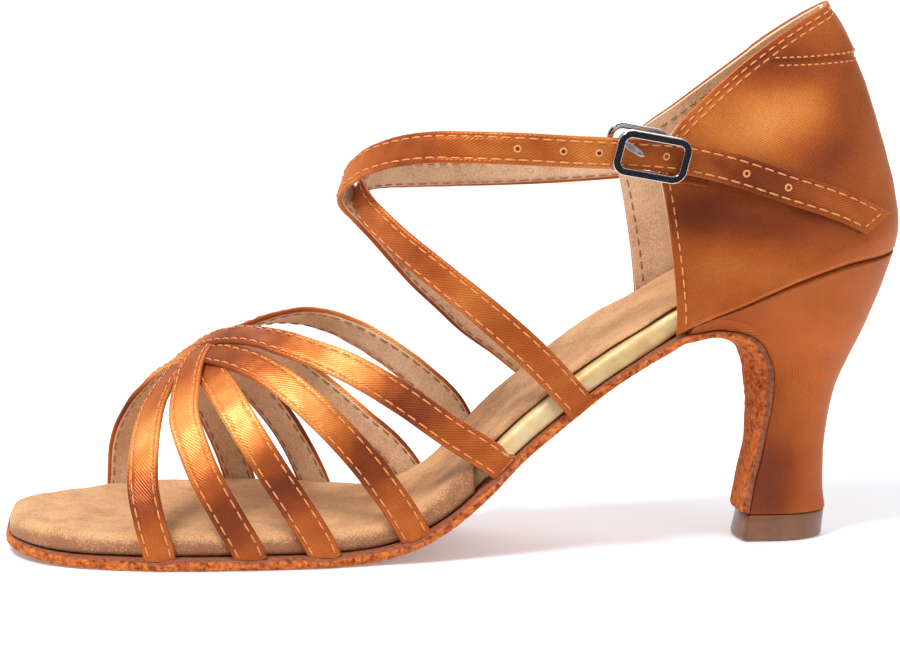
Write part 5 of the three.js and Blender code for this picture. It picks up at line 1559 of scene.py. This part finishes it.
@dataclass
class Buckle:
    """Chrome buckle: front frame, back frame, prong and the satin stay."""

    length: float = 19.4
    back_length: float = 16.1
    tilt: float = 6
    width: float = 11.8
    bar: float = 2.0
    depth: float = 1.5
    corner: float = 3.6
    hook_shift: float = 3.2
    hook_bar: float = 1.5
    hook_depth: float = 0.9
    slack: float = 1.0
    prong_width: float = 2.2
    over: float = SIZES.strap_thickness / 2 + SIZES.gap

    def __post_init__(self) -> None:
        """Finds where the buckle sits, at the same place as in the solids."""
        points, normals = InstepStraps.knots(STRAP_B, STRAP_B_END, -1)
        count = 3 * (len(points) - 1) + 1
        at, facing = smooth_path(points, count), unit(smooth_path(normals, count))
        half = count // 2
        at, facing = at[half:], facing[half:]
        i = max(1, int(np.argmax(at[:, 0] >= SIZES.x_at(BUCKLE_ALONG))))
        run = unit(at[i + 1] - at[i - 1])
        out = unit(facing[i] - run * (facing[i] @ run))
        side, lean = np.cross(out, run), math.radians(self.tilt)
        run = run * math.cos(lean) - side * math.sin(lean)
        self.origin = at[i]
        self.axes = np.stack([run, np.cross(out, run), out])

    def put(self, local: Array) -> Array:
        """Turns points along, across and off the strap into the shoe's frame."""
        return self.origin + local @ self.axes

    def ring(self, name: str, node: str, wide: float, high: float, bar: float, depth: float,
             height: float, shift: float) -> None:
        """Makes a rounded frame.

        Args:
            name: the piece's name.
            node: the CAD node that it stands for.
            wide: outer size along the strap.
            high: outer size across the strap.
            bar: width of the bars.
            depth: thickness of the bars.
            height: of its lower face over the strap's middle.
            shift: along the strap.
        """
        radius = self.corner - bar / 2
        w, h = wide / 2 - bar / 2, high / 2 - bar / 2
        angles = np.radians(np.linspace([0, 90, 180, 270], [90, 180, 270, 360], 12, axis=1)).ravel()
        ways = np.stack([np.cos(angles), np.sin(angles)], -1)
        signs = np.repeat([(1, 1), (-1, 1), (-1, -1), (1, -1)], 12, axis=0)
        path = signs * [w - radius, h - radius] + ways * radius
        turn = np.linspace(0, 2 * math.pi, 36, endpoint=False)
        c, d = np.cos(turn), np.sin(turn)
        off = np.sign(c) * np.abs(c) ** 0.38 * bar / 2
        up = np.sign(d) * np.abs(d) ** 0.38 * depth / 2 + height + depth / 2
        local = np.zeros((len(path), len(turn), 3))
        local[..., :2] = path[:, None] + ways[:, None] * off[None, :, None]
        local[..., 0] += shift
        local[..., 2] = up[None]
        skin = Skin(name, Cloth.CHROME)
        skin.grid(self.put(local), None, 0, wrap=True, loop=True)
        skin.make(node, slot="chrome")

    def prong(self) -> None:
        """Makes the prong with its slot, from the front bar to the hole."""
        start = -self.length / 2 + self.bar * 0.4
        reach = 0.2 * self.length + self.bar * 0.6 + 2 * SIZES.gap + self.prong_width / 2
        t = np.linspace(0, 1, 24)
        taper = np.where(t < 0.75, 0.8, 0.8 * np.sqrt(np.maximum(0.02, 1 - ((t - 0.75) / 0.25) ** 2)))
        half = self.prong_width / 2 * taper
        rise = self.over + 0.55 + 1.0 * np.sin(math.pi * np.minimum(1, t * 1.15)) * 0.55
        turn = np.linspace(0, 2 * math.pi, 16, endpoint=False)
        local = np.zeros((len(t), len(turn), 3))
        local[..., 0] = (start + reach * t)[:, None]
        local[..., 1] = mix(0.22, -0.02, t)[:, None] * self.width + half[:, None] * np.cos(turn)
        local[..., 2] = rise[:, None] + 0.5 * np.sin(turn)
        slot = 0.28 * (np.abs(np.sin(turn)) > 0.9) * (np.sin(turn) > 0)
        local[..., 2] -= slot[None] * clamp01((t - 0.2) / 0.1)[:, None] * clamp01((0.85 - t) / 0.1)[:, None]
        skin = Skin("buckle_tongue", Cloth.PRONG)
        skin.tube(self.put(local))
        skin.make("buckle_prong", slot="chrome")

    def stay(self) -> None:
        """Makes the short satin stay that holds the buckle on the quarter."""
        lift = (1 - SIZES.strap_thickness) / 2
        knots = [InstepStraps.on_quarter(along, up, lift, -1) for along, up in STAY]
        points, normals = (smooth_path(np.array(rows), 40) for rows in zip(*knots))
        Strap("buckle_stay", points, unit(normals), width=4.6, thickness=1, seed=95).build("buckle_loop")

    def build(self) -> None:
        """Makes every part of the buckle."""
        self.ring("buckle_front", "buckle_frame", self.length, self.width, self.bar, self.depth, self.over, 0)
        self.ring("buckle_back", "buckle_hook", self.back_length, self.width + 2 * SIZES.gap, self.hook_bar,
                  self.hook_depth, -self.over - self.slack - self.hook_depth, -self.hook_shift)
        self.prong()
        self.stay()


@dataclass
class Studio:
    """Pale table, soft lights and the camera at the photograph's angle."""

    swing: float = 6.0
    elevation: float = 10.5
    distance: float = 1300
    focal_px: float = 5148
    target: tuple[float, float, float] = (-84.8, 0, 56.1)
    frame_width: int = 900
    world_light: float = 0.55
    table_reach: float = 12.0
    card_corners: tuple[tuple[float, float, float], ...] = (
        (-0.4, -0.1, 0.002), (0.6, -0.1, 0.002), (0.6, -0.45, 0.4), (-0.4, -0.45, 0.4))
    lights: tuple[tuple[str, tuple[float, float, float], float, float], ...] = (
        ("key", (-0.6, -0.5, 1.1), 0.35, 15), ("fill", (0.9, -0.9, 0.5), 0.7, 3),
        ("back", (0.1, 1.0, 1.1), 1.0, 9))

    def camera(self) -> None:
        """Places the camera."""
        p, e = math.radians(self.swing), math.radians(self.elevation)
        ahead = Vector((math.sin(p) * math.cos(e), math.cos(p) * math.cos(e), -math.sin(e)))
        data = bpy.data.cameras.new("camera")
        data.sensor_fit, data.sensor_width = "HORIZONTAL", 36
        data.lens = 36 * self.focal_px / self.frame_width
        data.clip_start, data.clip_end = 0.05, 60
        made = bpy.data.objects.new("camera", data)
        made.location = (Vector(self.target) - ahead * self.distance) * MM
        made.rotation_euler = ahead.to_track_quat("-Z", "Y").to_euler()
        bpy.context.scene.collection.objects.link(made)
        bpy.context.scene.camera = made

    @staticmethod
    def area(name: str, place: tuple[float, float, float], size: float, power: float) -> None:
        """Adds a soft white light that faces the shoe."""
        data = bpy.data.lights.new(name, "AREA")
        data.shape, data.size, data.energy = "SQUARE", size, power
        made = bpy.data.objects.new(name, data)
        made.location = place
        toward = Vector((-0.08, 0, 0.05)) - Vector(place)
        made.rotation_euler = toward.to_track_quat("-Z", "Y").to_euler()
        bpy.context.scene.collection.objects.link(made)

    @staticmethod
    def sheet(name: str, corners: Sequence[tuple[float, float, float]], finish: str,
              **values: float | tuple) -> Object:
        """Makes a flat square of one plain material.

        Args:
            name: the object's name.
            corners: its four corners, in metres.
            finish: the material's name.
            values: the shader's own values.
        """
        mesh = bpy.data.meshes.new(name)
        mesh.from_pydata(corners, [], [(0, 1, 2, 3)])
        material = bpy.data.materials.new(finish)
        material.use_nodes = True
        Finish.set_values(material.node_tree.nodes["Principled BSDF"], **values)
        mesh.materials.append(material)
        made = bpy.data.objects.new(name, mesh)
        bpy.context.scene.collection.objects.link(made)
        return made

    def surroundings(self) -> None:
        """Makes the white table, and the black card that only reflections show, for the chrome to mirror."""
        r = self.table_reach
        self.sheet("table", [(-r, -r, 0), (r, -r, 0), (r, r, 0), (-r, r, 0)], "table_laminate",
                   Base_Color=linear("#EFF1F6"), Roughness=0.3, Specular_IOR_Level=0.3,
                   Emission_Color=linear("#FFFFFF"), Emission_Strength=0.2)
        card = self.sheet("card", self.card_corners, "card_black_felt", Base_Color=linear("#2A2A2E"),
                          Roughness=1.0, Specular_IOR_Level=0.0)
        card.visible_camera = card.visible_diffuse = card.visible_shadow = False

    def build(self) -> None:
        """Sets up the whole studio."""
        scene = bpy.context.scene
        world = scene.world = scene.world or bpy.data.worlds.new("studio")
        world.use_nodes = True
        back = world.node_tree.nodes["Background"]
        back.inputs["Color"].default_value = linear("#FFFFFF")
        back.inputs["Strength"].default_value = self.world_light
        scene.view_settings.view_transform = "Standard"
        self.surroundings()
        for light in self.lights:
            self.area(*light)
        self.camera()


def main() -> None:
    """Builds every piece in order."""
    logging.basicConfig(level=logging.INFO, format="%(message)s")
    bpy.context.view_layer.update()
    Studio().build()
    Outsole().build()
    footbed, heel, quarter = Footbed(), Heel(), Quarter()
    footbed.build_board()
    footbed.build_sock()
    heel.build()
    heel.build_tip()
    quarter.build()
    quarter.build_stitches()
    ToeStraps().build()
    InstepStraps().build()
    Buckle().build()


if __name__ == "__main__":
    main()
